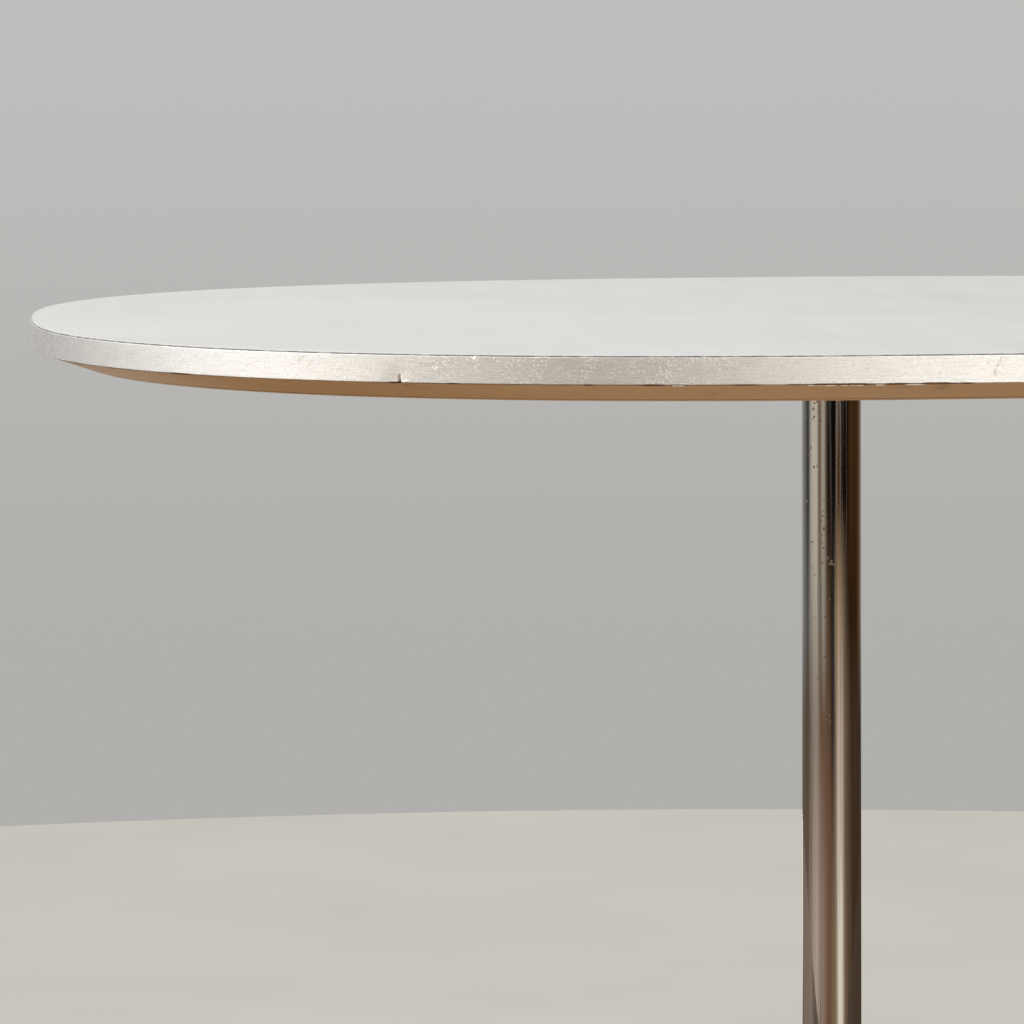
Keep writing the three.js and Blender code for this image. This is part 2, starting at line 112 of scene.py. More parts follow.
def soften(profile, radius, steps=3):
    """The same profile with rounded corners. A point just outside each curve keeps the flats flat."""
    points = [profile[0]]
    for before, corner, after in zip(profile, profile[1:], profile[2:]):
        a, p, b = Vector(before), Vector(corner), Vector(after)
        reach = min(radius, (a - p).length * 0.3, (b - p).length * 0.3)
        back, ahead = (a - p).normalized(), (b - p).normalized()
        start, end = p + back * reach, p + ahead * reach
        points.append(tuple(p + back * reach * 1.5))
        for i in range(steps + 1):
            t = i / steps
            points.append(tuple((1 - t) ** 2 * start + 2 * t * (1 - t) * p + t * t * end))
        points.append(tuple(p + ahead * reach * 1.5))
    points.append(profile[-1])
    return points


def soften_ring(profile, radius, steps=3):
    """As soften, for a profile that closes on itself."""
    wrapped = [profile[-1], *profile, profile[0]]
    return soften(wrapped, radius, steps)[1:-1]


def even_angles(count):
    return [2 * math.pi * i / count for i in range(count)]


def detailed_angles(count, spots):
    """Even angles with finer ones added round some spots, each (middle, reach, step) in degrees."""
    angles = {round(360 * i / count, 4) for i in range(count)}
    for middle, reach, step in spots:
        steps = round(reach / step)
        angles |= {round((middle + i * step) % 360, 4) for i in range(-steps, steps + 1)}
    return [math.radians(a) for a in sorted(angles)]


def new_piece(name, vertices, faces, uvs=None):
    mesh = bpy.data.meshes.new(name)
    mesh.from_pydata(vertices, [], faces)
    if uvs:
        layer = mesh.uv_layers.new(name="UVMap")
        layer.data.foreach_set("uv", [value for face in uvs for pair in face for value in pair])
    piece = bpy.data.objects.new(name, mesh)
    scene.collection.objects.link(piece)
    return piece


def shade(piece, degrees=35):
    """Smooth shading that breaks at edges steeper than the given angle."""
    for polygon in piece.data.polygons:
        polygon.use_smooth = True
    piece.data.set_sharp_from_angle(angle=math.radians(degrees))
    return piece


def lathe(name, profile, angles, shape=None, closed=False, sharp=35):
    """A body of revolution about Z, at a list of angles or a number of even steps.

    shape(angle, r, z) may move a profile point at an angle.
    u runs round the body in metres and v along the profile in metres.
    """
    if isinstance(angles, int):
        angles = even_angles(angles)
    vertices, rings, runs = [], [], [0.0]
    for before, after in zip(profile, profile[1:]):
        runs.append(runs[-1] + math.dist(before, after))
    for r, z in profile:
        if r < 1e-9:
            rings.append([len(vertices)] * len(angles))
            vertices.append((0.0, 0.0, z))
            continue
        ring = []
        for angle in angles:
            rr, zz = shape(angle, r, z) if shape else (r, z)
            ring.append(len(vertices))
            vertices.append((rr * math.cos(angle), rr * math.sin(angle), zz))
        rings.append(ring)
    widest = max(r for r, _ in profile)
    pairs = list(zip(range(len(rings)), range(1, len(rings))))
    if closed:
        pairs.append((len(rings) - 1, 0))
        runs.append(runs[-1] + math.dist(profile[-1], profile[0]))
    faces, uvs = [], []
    for low, high in pairs:
        a, b = rings[low], rings[high]
        v0, v1 = runs[low], runs[high] if high else runs[-1]
        for i, start in enumerate(angles):
            j = (i + 1) % len(angles)
            u0 = start * widest
            u1 = (angles[j] if j else angles[0] + 2 * math.pi) * widest
            corners = {a[i]: (u0, v0), a[j]: (u1, v0), b[j]: (u1, v1), b[i]: (u0, v1)}
            if len(corners) > 2:
                faces.append(list(corners))
                uvs.append(list(corners.values()))
    return shade(new_piece(name, vertices, faces, uvs), sharp)


def loft(name, sections):
    """A closed skin over rings of points that all have the same number of points."""
    count = len(sections[0])
    vertices = [point for section in sections for point in section]
    faces = [list(range(count))[::-1], [len(vertices) - count + i for i in range(count)]]
    for low in range(len(sections) - 1):
        for i in range(count):
            j = (i + 1) % count
            base, top = low * count, (low + 1) * count
            faces.append([base + i, base + j, top + j, top + i])
    return new_piece(name, vertices, faces)


def rounded_box_ring(half_width, bottom, top, radius, steps=5):
    """Points (y, z) round a rectangle with rounded corners, counter-clockwise."""
    radius = min(radius, half_width * 0.98, (top - bottom) * 0.49)
    corners = [
        (half_width - radius, bottom + radius, -90), (half_width - radius, top - radius, 0),
        (radius - half_width, top - radius, 90), (radius - half_width, bottom + radius, 180),
    ]
    points = []
    for y, z, start in corners:
        for i in range(steps + 1):
            a = math.radians(start + 90 * i / steps)
            points.append((y + radius * math.cos(a), z + radius * math.sin(a)))
    return points


def prism(name, outline, bottom, top):
    """A plain upright block over an outline, for cutting."""
    return loft(name, [[(x, y, bottom) for x, y in outline], [(x, y, top) for x, y in outline]])


def rectangle(x0, x1, half_width):
    return [(x0, -half_width), (x1, -half_width), (x1, half_width), (x0, half_width)]


def round_outline(radius, count=64, x=0.0, y=0.0):
    return [(x + radius * math.cos(a), y + radius * math.sin(a)) for a in even_angles(count)]


def moved(piece, matrix):
    piece.data.transform(matrix)
    return piece


def cut(piece, cutters, operation="DIFFERENCE"):
    """Cuts other pieces out of a piece, and deletes them."""
    for cutter in cutters:
        modifier = piece.modifiers.new("cut", "BOOLEAN")
        modifier.operation = operation
        modifier.solver = "EXACT"
        modifier.object = cutter
    graph = bpy.context.evaluated_depsgraph_get()
    mesh = bpy.data.meshes.new_from_object(piece.evaluated_get(graph))
    piece.modifiers.clear()
    piece.data = mesh
    for cutter in cutters:
        bpy.data.objects.remove(cutter)
    return shade(piece)


def lying(angle, x=0.0, z=0.0):
    """Turns a piece that stands on Z so that it lies outwards along a direction, at a place on it."""
    return spin(angle) @ Matrix.Translation((x, 0, z)) @ Matrix.Rotation(math.pi / 2, 4, "Y")


def standing(angle, x=0.0):
    return spin(angle) @ Matrix.Translation((x, 0, 0))


def copy_of(piece, name, matrix):
    twin = bpy.data.objects.new(name, piece.data.copy())
    twin.data.transform(matrix)
    scene.collection.objects.link(twin)
    return twin


def repeat_round(pattern, name, slot, node, place, body=None):
    """Copies of a pattern, one for each arm and its CAD node. place(angle) puts a copy at its arm."""
    for arm, angle in ARM_ANGLE.items():
        piece = copy_of(pattern, f"{name}_{arm}", place(angle))
        finish_piece(piece, slot, f"{node}_{arm}", body=f"{body}_{arm}" if body else "table")
    bpy.data.objects.remove(pattern)


def finish_piece(piece, slot, node, *looks, body="table"):
    """Gives a piece the named materials, or the material of its slot if none are named, puts it in its body
    and hides the CAD node that it stands for.
    """
    piece.data.materials.clear()
    for look in looks or [slot]:
        piece.data.materials.append(MATERIALS[look])
    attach(piece, body)
    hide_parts(node)


def turned(name, profile, count, slot, node, *looks, **options):
    """A finished body of revolution, divided evenly all round."""
    piece = lathe(name, profile, count, **options)
    finish_piece(piece, slot, node, *looks)
    return piece


# ---------- shader node helpers ----------

def rgba(colour):
    """A colour with its alpha, from a colour or a grey."""
    return (colour, colour, colour, 1) if isinstance(colour, (int, float)) else (*colour, 1)


def feed(node, inputs):
    """Links a node's inputs to other nodes' outputs, or sets them to values."""
    for key, value in inputs.items():
        socket = node.inputs[key]
        if isinstance(value, bpy.types.NodeSocket):
            node.id_data.links.new(value, socket)
        else:
            socket.default_value = rgba(value) if socket.type == "RGBA" else value


class Drawing:
    """The node tree that is being drawn. The helpers below add their nodes to it."""
    tree = None


def add_node(kind, inputs=None, **settings):
    node = Drawing.tree.nodes.new("ShaderNode" + kind)
    for key, value in settings.items():
        setattr(node, key, value)
    feed(node, inputs or {})
    return node


def maths(operation, *values):
    return add_node("Math", dict(enumerate(values)), operation=operation).outputs[0]


def times(a, b):
    return maths("MULTIPLY", a, b)


def strongest(a, b):
    return maths("MAXIMUM", a, b)


def fade(value, low, high, smooth=True):
    """0 where value is at low and 1 where it is at high."""
    return add_node("MapRange", {
        "Value": value, "From Min": low, "From Max": high,
    }, interpolation_type="SMOOTHSTEP" if smooth else "LINEAR").outputs[0]


def ramp(factor, stops):
    """A colour ramp. stops is a list of (position, colour or grey)."""
    node = add_node("ValToRGB", {"Fac": factor})
    elements = node.color_ramp.elements
    elements.remove(elements[-1])
    for index, (position, colour) in enumerate(stops):
        element = elements[0] if index == 0 else elements.new(position)
        element.position = position
        element.color = rgba(colour)
    return node.outputs["Color"]


def blend(factor, a, b):
    """From a to b over the middle values of a noise."""
    return ramp(factor, [(0.3, a), (0.7, b)])


def mix(factor, a, b):
    return add_node("Mix", {0: factor, 6: a, 7: b}, data_type="RGBA").outputs[2]


def noise(place, scale, detail=4.0, roughness=0.5):
    return add_node("TexNoise", {
        "Vector": place, "Scale": scale, "Detail": detail, "Roughness": roughness,
    }).outputs["Fac"]


def cells(place, scale):
    return add_node("TexVoronoi", {"Vector": place, "Scale": scale}).outputs["Distance"]


def scaled(place, x, y, z):
    return add_node("VectorMath", {0: place, 1: (x, y, z)}, operation="MULTIPLY").outputs[0]


def part_of(place, axis):
    return add_node("SeparateXYZ", {"Vector": place}).outputs[axis]


def distance_to(place, point):
    return add_node("VectorMath", {0: place, 1: point}, operation="DISTANCE").outputs["Value"]


def bump(height, distance, **under):
    inputs = {"Height": height, "Distance": distance, **under}
    return add_node("Bump", inputs).outputs["Normal"]


# ---------- camera, floor and light ----------

LENS = 185.7
SENSOR = 36.0
HEADING = 5.42  # degrees, from +Y towards +X
PITCH = 4.897  # degrees below the horizontal
ROLL = -0.356
TOP_HALF = axis_box("edge_band")[0]
TABLE_HEIGHT = axis_box("top_laminate")[2]
CAMERA_SIDE = -0.402 * TOP_HALF  # place of the camera, across and along its own heading
CAMERA_BACK = -6.623 * TOP_HALF
CAMERA_RISE = 0.315 * TOP_HALF  # above the table's surface
HEADING_TURN = spin(math.radians(-HEADING))


def add_camera():
    data = bpy.data.cameras.new("camera")
    data.lens = LENS
    data.sensor_width = SENSOR
    data.clip_start = 0.05
    data.clip_end = 50
    camera = bpy.data.objects.new("camera", data)
    scene.collection.objects.link(camera)
    camera.location = HEADING_TURN @ Vector((CAMERA_SIDE, CAMERA_BACK, 0))
    camera.location.z = TABLE_HEIGHT + CAMERA_RISE
    tilt = Matrix.Rotation(math.radians(90 - PITCH), 4, "X")
    roll = spin(math.radians(ROLL))
    camera.rotation_euler = (HEADING_TURN @ tilt @ roll).to_euler()
    scene.camera = camera


# What stands round the table, as polished metal sees it. Each level of the room has an elevation in degrees
# and a list of (azimuth, brightness, tint). Azimuth 0 is towards the camera, and grows to the right.
GREY = (1.0, 0.985, 0.955)
IVORY = (1.0, 0.965, 0.87)
CREAM = (1.0, 0.91, 0.76)
ROSE = (1.0, 0.78, 0.65)
TAN = (1.0, 0.70, 0.43)
BROWN = (1.0, 0.56, 0.33)
RUST = (1.0, 0.42, 0.14)
NAVY = (0.45, 0.65, 1.0)
WALL = 0.46

ROOM = [
    (-9.4, [
        (-180, 0.7, GREY), (-166, 0.1, BROWN), (-150, 0.13, BROWN), (-112, 0.15, ROSE), (-91, 0.29, ROSE),
        (-75, 0.48, ROSE), (-60, 0.46, ROSE), (-46, 0.32, ROSE), (-24, 0.22, BROWN), (-10, 0.16, BROWN),
        (12, 0.27, TAN), (23, 0.76, CREAM), (35, 0.78, CREAM), (48, 0.22, TAN), (62, 0.115, TAN),
        (90, 0.06, BROWN), (130, 0.055, BROWN), (166, 0.08, BROWN), (180, 0.7, GREY),
    ]),
    (-7.2, [
        (-180, 0.6, GREY), (-166, 0.15, GREY), (-132, 0.13, TAN), (-109, 0.09, TAN), (-91, 0.185, ROSE),
        (-76, 0.29, ROSE), (-60, 0.30, ROSE), (-48, 0.15, BROWN), (-12, 0.13, BROWN), (-4, 0.05, BROWN),
        (3, 0.035, NAVY), (10, 0.16, TAN), (24, 0.58, ROSE), (36, 0.5, ROSE), (48, 0.2, TAN),
        (76, 0.06, BROWN), (134, 0.05, BROWN), (166, 0.12, GREY), (180, 0.6, GREY),
    ]),
    (-6.0, [
        (-180, WALL, GREY), (-132, 0.18, GREY), (-109, 0.09, GREY), (-91, 0.29, CREAM),
        (-75, 0.44, CREAM), (-60, 0.43, CREAM), (-51, 0.17, CREAM), (-44, 0.19, CREAM),
        (-37, 0.34, CREAM), (-28, 0.33, CREAM), (-23, 0.14, TAN), (-14, 0.10, BROWN), (-5, 0.04, BROWN),
        (3, 0.022, NAVY), (9, 0.16, TAN), (14, 0.30, TAN), (24, 0.43, TAN), (36, 0.30, TAN),
        (48, 0.14, TAN), (62, 0.045, BROWN), (76, 0.024, RUST), (110, 0.035, RUST), (134, 0.12, BROWN),
        (155, 0.25, GREY), (180, WALL, GREY),
    ]),
    (-4.8, [
        (-180, WALL, GREY), (-132, 0.2, GREY), (-112, 0.05, GREY), (-102, 0.06, GREY), (-94, 0.34, CREAM),
        (-80, 0.56, CREAM), (-62, 0.52, CREAM), (-54, 0.18, TAN), (-46, 0.2, TAN), (-40, 0.36, CREAM),
        (-30, 0.34, CREAM), (-25, 0.12, TAN), (-20, 0.006, BROWN), (0, 0.003, BROWN), (12, 0.006, BROWN),
        (18, 0.07, RUST), (26, 0.07, RUST), (32, 0.012, RUST), (48, 0.004, RUST), (62, 0.012, RUST),
        (76, 0.057, RUST), (112, 0.045, RUST), (134, 0.14, BROWN), (155, 0.27, GREY), (180, WALL, GREY),
    ]),
    (6.0, [
        (-180, 0.55, GREY), (-150, 0.97, GREY), (-125, 1.8, GREY), (-100, 2.6, GREY), (-75, 2.5, GREY),
        (-50, 1.5, IVORY), (-34, 0.95, IVORY), (-18, 0.72, IVORY), (-2, 1.15, IVORY), (10, 2.05, IVORY),
        (22, 3.4, GREY), (46, 2.4, GREY), (70, 0.4, CREAM), (125, 0.2, CREAM), (150, 0.3, GREY),
        (172, 0.3, GREY), (180, 0.55, GREY),
    ]),
    (62.0, [(-180, 0.45, GREY), (180, 0.45, GREY)]),
]
HOLD = {6.0: -3.6, 62.0: 32.0}  # elevations up to which the level below stays as it is
BACKDROP_LOW = (0.437, 0.432, 0.418)  # the plain wall that the camera sees, from the floor up
BACKDROP_HIGH = (0.515, 0.510, 0.500)


def room_level(factor, stops):
    return ramp(factor, [
        ((azimuth + 180) / 360, tuple(level * part for part in tint)) for azimuth, level, tint in stops
    ])


def add_world():
    world = bpy.data.worlds.new("studio")
    scene.world = world
    world.use_nodes = True
    Drawing.tree = world.node_tree
    Drawing.tree.nodes.clear()
    direction = add_node("TexCoord").outputs["Generated"]
    inputs = {"Vector": direction, "Angle": math.radians(HEADING)}
    way = add_node("VectorRotate", inputs, rotation_type="Z_AXIS").outputs[0]
    azimuth = maths("ARCTAN2", part_of(way, "X"), times(part_of(way, "Y"), -1.0))
    factor = maths("MULTIPLY_ADD", azimuth, 1 / (2 * math.pi), 0.5)
    height = maths("DEGREES", maths("ARCSINE", part_of(way, "Z")))
    room = room_level(factor, ROOM[0][1])
    for (below, _), (elevation, stops) in zip(ROOM, ROOM[1:]):
        share = fade(height, HOLD.get(elevation, below), elevation, smooth=False)
        room = mix(share, room, room_level(factor, stops))
    wall = mix(fade(height, -6.5, 0.5), BACKDROP_LOW, BACKDROP_HIGH)
    seen = add_node("LightPath").outputs["Is Camera Ray"]
    shader = add_node("Background", {"Color": mix(seen, room, wall)})
    add_node("OutputWorld", {"Surface": shader.outputs[0]})


def add_softbox(name, location, target, size, power, colour=(1, 1, 1)):
    data = bpy.data.lights.new(name, "AREA")
    data.shape = "RECTANGLE"
    data.size, data.size_y = size
    data.energy = power
    data.color = colour
    lamp = bpy.data.objects.new(name, data)
    lamp.location = location
    lamp.rotation_euler = (Vector(target) - Vector(location)).to_track_quat("-Z", "Y").to_euler()
    scene.collection.objects.link(lamp)


FLOOR_RADIUS = 2.6
FLOOR_BACK = 0.785  # the floor's middle lies behind the table
ISLAND_RADIUS = 0.5  # glossy surfaces see the pale floor this far round the table, and a darker one beyond
FAR_PATCH = (-0.35, 3.0)  # where the darker floor runs into the pale wall's reflection, across and behind
SIDE_PATCH = (-2.3, 1.3)  # where it runs into the room's lighter brown
MIRRORED_FLOOR = (0.062, 0.038, 0.024)
MIRRORED_SIDE = (0.19, 0.135, 0.105)
MIRRORED_WALL = (0.95, 0.89, 0.80)


def add_floor():
    """A large pale disc with a fine, dull grain."""
    profile = [(0, -0.02), (FLOOR_RADIUS, -0.02), (FLOOR_RADIUS, 0), (0, 0)]
    floor = lathe("studio_floor", profile, 180)
    middle = HEADING_TURN @ Vector((0, FLOOR_BACK, -0.0002))
    floor.location = middle
    material, shader = new_material("pale_floor")
    place = object_place()
    pale = blend(noise(place, 3.0, 6.0), (0.60, 0.58, 0.55), (0.64, 0.62, 0.59))
    far = fade(distance_to(place, -middle), ISLAND_RADIUS, ISLAND_RADIUS * 1.4)
    mirrored = MIRRORED_FLOOR
    for patch, start, end, tint in (
        (SIDE_PATCH, 2.0, 1.1, MIRRORED_SIDE),
        (FAR_PATCH, 1.15, 0.5, MIRRORED_WALL),
    ):
        patch_middle = HEADING_TURN @ Vector((*patch, 0)) - middle
        share = fade(distance_to(place, patch_middle), start, end)
        mirrored = mix(share, mirrored, tint)
    glossy = add_node("LightPath").outputs["Is Glossy Ray"]
    colour = mix(times(far, glossy), pale, mirrored)
    feed(shader, {"Base Color": colour, "Roughness": 0.8, "Specular IOR Level": 0.1})
    floor.data.materials.append(material)


# ---------- materials ----------

def new_material(name):
    material = bpy.data.materials.new(name)
    material.use_nodes = True
    Drawing.tree = material.node_tree
    return material, Drawing.tree.nodes["Principled BSDF"]


def object_place():
    return add_node("TexCoord").outputs["Object"]


def rim_point(degrees, radius, z):
    """A point on the squared-off outline, for a radius along X."""
    angle = math.radians(degrees)
    reach = radius * stretch(angle)
    return reach * math.cos(angle), reach * math.sin(angle), z


def laminate_material():
    """Matt off-white decor sheet with a faint mottle, dust specks and rubbed patches."""
    material, shader = new_material("white_laminate")
    place = object_place()
    mottle = noise(place, 9.0, 5.0)
    cloudy = ramp(mottle, [(0.35, (0.645, 0.658, 0.655)), (0.65, (0.672, 0.686, 0.686))])
    speck = fade(cells(place, 420.0), 0.16, 0.10)
    rare = fade(noise(place, 60.0, 2.0), 0.57, 0.63)
    colour = mix(times(speck, rare), cloudy, (0.56, 0.55, 0.52))
    rubbed = noise(scaled(place, 60.0, 9.0, 1.0), 1.0, 6.0)
    feed(shader, {
        "Base Color": colour,
        "Roughness": blend(rubbed, 0.42, 0.56),
        "Normal": bump(noise(place, 1500.0, 2.0), 0.00003),
        "Specular IOR Level": 0.4,
    })
    return material


# Plain materials. Each has a noise and its colours, and may have a roughness that varies with another noise,
# a fine relief and a metal's reflection. A noise is given as (scale, detail).
MOTTLED = {
    # the cut edge of the laminate: resin-soaked paper, darker and a little uneven
    "laminate_edge": dict(
        tone=(200.0, 4.0), roughness=0.6,
        colours=[(0.3, (0.05, 0.055, 0.065)), (0.5, (0.16, 0.17, 0.19)), (0.7, 0.5)],
    ),
    # pale board fibres and filler where the paint has rubbed off the edge under the band
    "worn_board_edge": dict(
        tone=(420.0, 4.0), roughness=0.75,
        colours=[(0.36, (0.50, 0.33, 0.18)), (0.46, (0.90, 0.84, 0.74)), (0.8, (0.97, 0.95, 0.90))],
    ),
    "backing_laminate": dict(
        tone=(40.0, 6.0), colours=[(0.3, (0.17, 0.105, 0.06)), (0.7, (0.22, 0.14, 0.085))],
        roughness=(0.52, 0.66), dulling=(25.0, 4.0), grain=(1200.0, 2.0), relief=0.00003,
    ),
    "zinc_steel": dict(
        tone=(220.0, 5.0), colours=[(0.3, (0.42, 0.42, 0.40)), (0.7, (0.60, 0.60, 0.57))],
        roughness=(0.30, 0.48), dulling=(220.0, 5.0), grain=(900.0, 3.0), relief=0.00003, metallic=1.0,
    ),
    "black_plastic": dict(
        tone=(120.0, 4.0), colours=[(0.3, (0.012, 0.012, 0.013)), (0.7, (0.028, 0.028, 0.029))],
        roughness=(0.45, 0.62), dulling=(300.0, 3.0), grain=(2600.0, 2.0), relief=0.00004,
    ),
}


def mottled_material(name, tone, colours, roughness, dulling=None, grain=None, relief=0.0, metallic=0.0):
    material, shader = new_material(name)
    place = object_place()
    if dulling:
        smooth, dull = roughness
        roughness = blend(noise(place, *dulling), smooth, dull)
    feed(shader, {
        "Base Color": ramp(noise(place, *tone), colours),
        "Roughness": roughness,
        "Metallic": metallic,
    })
    if grain:
        feed(shader, {"Normal": bump(noise(place, *grain), relief)})
    return material


# Marks on the band's face: angle in degrees, then in millimetres the height above the band's lower edge, the
# length and the width, then the tilt in degrees, and how strong it is. Dark ones are dirt in a scratch, apart
# from the first two at the dent.
DARK_MARKS = [
    # the first colours the dent's notch dark brown; the second is painted shade in the hollow just left of
    # the dent
    (-124.87, 1.6, 4.2, 1.3, 88, 0.8), (-125.2, 2.6, 3.0, 1.2, 70, 0.35), (-123.2, 6.8, 2.2, 0.3, 40, 0.3),
    (-122.0, 5.2, 2.4, 0.3, -30, 0.3), (-88.52, 9.0, 3.2, 0.9, 86, 0.34), (-88.68, 7.0, 2.6, 0.9, 58, 0.4),
    (-88.86, 4.2, 3.4, 1.3, 88, 0.34), (-92.6, 9.2, 0.6, 0.45, 30, 0.7), (-92.25, 4.1, 2.2, 0.3, 50, 0.6),
    (-95.0, 4.6, 6.0, 0.2, 18, 0.4), (-94.6, 3.4, 4.5, 0.2, 24, 0.35), (-94.1, 5.4, 3.0, 0.2, -20, 0.3),
    (-96.6, 10.5, 3.4, 0.25, 0, 0.6), (-98.9, 8.0, 2.0, 0.25, 60, 0.3), (-108.4, 0.7, 15.0, 0.25, 1, 0.6),
    (-122.9, 7.7, 4.0, 0.25, -16, 0.45), (-122.2, 7.2, 2.6, 0.25, 24, 0.35),
    (-121.3, 5.2, 2.0, 0.2, 70, 0.3), (-104.9, 10.5, 4.0, 0.2, 0, 0.4), (-103.0, 10.3, 7.0, 0.22, 1, 0.45),
    (-131.6, 8.8, 2.4, 0.6, 30, 0.3), (-130.8, 4.0, 1.6, 0.4, 60, 0.2), (-145.5, 6.0, 2.0, 0.25, 70, 0.25),
    (-35.0, 6.0, 5.0, 0.25, 14, 0.4), (40.0, 5.0, 4.0, 0.25, -35, 0.4), (128.0, 7.0, 6.0, 0.2, 8, 0.4),
]
BRIGHT_MARKS = [
    # the first is a painted highlight on the lip just right of the dent
    (-124.45, 0.7, 2.6, 1.0, 10, 0.9), (-122.55, 6.1, 3.2, 0.5, 30, 0.9),
    (-122.5, 5.9, 2.6, 0.45, 105, 0.8), (-122.6, 6.0, 3.6, 0.4, 160, 0.8), (-123.6, 8.6, 1.0, 0.5, 0, 0.7),
    (-124.3, 9.2, 0.8, 0.5, 0, 0.6), (-121.3, 8.4, 1.0, 0.5, 0, 0.6), (-121.8, 3.0, 0.7, 0.5, 0, 0.8),
    (-120.9, 3.2, 0.6, 0.5, 0, 0.7), (-118.4, 3.8, 0.9, 0.5, 20, 0.6), (-119.9, 7.7, 0.7, 0.4, 0, 0.7),
    (-119.6, 2.0, 0.6, 0.5, 0, 0.7), (-120.35, 10.7, 1.2, 0.7, 0, 0.9), (-116.4, 10.8, 1.0, 0.4, 0, 0.8),
    (-124.95, 10.4, 0.8, 0.4, 0, 0.7), (-157.0, 7.0, 1.4, 0.4, 100, 0.6), (-118.0, 8.4, 5.0, 0.15, 12, 0.4),
    (-112.0, 5.0, 6.0, 0.15, -8, 0.3), (15.0, 5.5, 5.0, 0.2, 25, 0.5),
]
# Small patches of brown specks on the band: angle in degrees, then in millimetres the height above the band's
# lower edge and the size, then how strong they are.
STAINS = [
    (-131.6, 9.4, 4.0, 0.30), (-130.9, 6.0, 4.0, 0.22), (-122.4, 6.6, 5.0, 0.34), (-121.3, 8.6, 4.0, 0.25),
    (-125.2, 3.0, 3.0, 0.45), (-155.0, 8.0, 6.0, 0.25), (-96.2, 5.0, 7.0, 0.16), (52.0, 6.0, 5.0, 0.3),
]


def mark_mask(along, z, marks, radius, bottom):
    """The strongest of many short strokes, each with soft ends. along and z are in metres."""
    total = 0.0
    for degrees, height, length, width, tilt, strength in marks:
        across = maths("SUBTRACT", along, math.radians(degrees % 360) * radius)
        above = maths("SUBTRACT", z, bottom + height * MM)
        c, s = math.cos(math.radians(tilt)), math.sin(math.radians(tilt))
        lengthways = maths("MULTIPLY_ADD", across, c, times(above, s))
        sideways = maths("MULTIPLY_ADD", above, c, times(across, -s))
        ends = fade(maths("ABSOLUTE", lengthways), length * MM / 2, length * MM / 4)
        edges = fade(maths("ABSOLUTE", sideways), width * MM * 0.6, width * MM * 0.2)
        stroke = times(times(ends, edges), strength)
        total = strongest(total, stroke)
    return total


def aluminium_material():
    """Aluminium brushed along the band, with marks, a few pits and a dull film. u runs along the band."""
    material, shader = new_material("brushed_aluminium")
    run = add_node("TexCoord").outputs["UV"]
    place = object_place()
    along = part_of(run, "X")
    z = part_of(place, "Z")
    fine = noise(scaled(run, 18.0, 5200.0, 1.0), 1.0, 2.0)
    broad = noise(scaled(run, 5.0, 1100.0, 1.0), 1.0, 3.0)
    lines = mix(0.5, fine, broad)
    tones = [(0.30, (0.80, 0.79, 0.775)), (0.5, (0.90, 0.895, 0.885)), (0.72, (0.96, 0.955, 0.95))]
    tone = ramp(lines, tones)
    grain = noise(scaled(run, 700.0, 1900.0, 1.0), 1.0, 2.0, 0.6)
    grey_grain = ramp(grain, [(0.36, (0.58, 0.565, 0.54)), (0.62, (1.0, 0.995, 0.985))])
    dashes = noise(scaled(run, 110.0, 1500.0, 1.0), 1.0, 2.0)
    grey_dashes = ramp(dashes, [(0.34, (0.66, 0.65, 0.63)), (0.55, (0.96, 0.955, 0.945))])
    grained = mix(0.36, mix(0.45, tone, grey_dashes), grey_grain)
    film = fade(noise(scaled(run, 22.0, 200.0, 1.0), 1.0, 4.0), 0.50, 0.85)
    dulled = mix(times(film, 0.35), grained, (0.70, 0.68, 0.65))
    # painted highlights: small white glints in patches, made less metallic below so that they stay white
    glint = fade(cells(place, 760.0), 0.36, 0.22)
    glint_zone = fade(noise(place, 130.0, 3.0), 0.42, 0.56)
    sparkle = fade(noise(place, 11.0, 2.0), 0.40, 0.52)
    glints = times(times(glint, glint_zone), sparkle)
    brightened = mix(glints, dulled, 1.0)
    pit = fade(cells(place, 640.0), 0.24, 0.14)
    pit_zone = fade(noise(place, 90.0, 3.0), 0.63, 0.70)
    pits = times(times(pit, pit_zone), 0.8)
    radius, bottom, _ = axis_box("edge_band")
    # dirt in scratches and stains, plus the painted shade in the hollow beside the dent
    dirt_and_shade = mark_mask(along, z, DARK_MARKS, radius, bottom)
    crumbs = fade(noise(place, 1100.0, 3.0, 0.7), 0.50, 0.58)
    for degrees, height, size, strength in STAINS:
        point = rim_point(degrees, radius, bottom + height * MM)
        patch = fade(distance_to(place, point), size * MM, size * MM * 0.3)
        stain = times(times(patch, crumbs), strength)
        dirt_and_shade = strongest(dirt_and_shade, stain)
    # scuffs, plus a painted highlight on the dent's lip
    scuffs_and_highlight = mark_mask(along, z, BRIGHT_MARKS, radius, bottom)
    dark = strongest(pits, dirt_and_shade)
    dull = strongest(dirt_and_shade, strongest(scuffs_and_highlight, times(glints, 0.45)))
    rough = blend(lines, 0.46, 0.36)
    relief = maths("SUBTRACT", scuffs_and_highlight, dark)
    feed(shader, {
        "Base Color": mix(scuffs_and_highlight, mix(dark, brightened, (0.33, 0.225, 0.15)), 0.96),
        "Metallic": maths("MULTIPLY_ADD", dull, -0.8, 1.0),
        "Roughness": mix(scuffs_and_highlight, rough, 0.3),
        "Anisotropic": 0.6,
        "Anisotropic Rotation": 0.25,
        "Tangent": add_node("Tangent", direction_type="UV_MAP", uv_map="UVMap").outputs[0],
        "Normal": bump(relief, 0.00006, Normal=bump(lines, 0.00002)),
    })
    return material


# Spots where the brown paint has small dark chips: angle in degrees, how far in from the band's face and how
# far up from the flat underside, both in millimetres, and the size of the patch.
PAINT_CHIPS = [
    (-124.6, 5.0, 6.5, 5.0), (-123.9, 8.0, 5.4, 3.5), (-94.2, 5.0, 6.5, 4.0), (-92.0, 7.0, 6.0, 6.0),
]


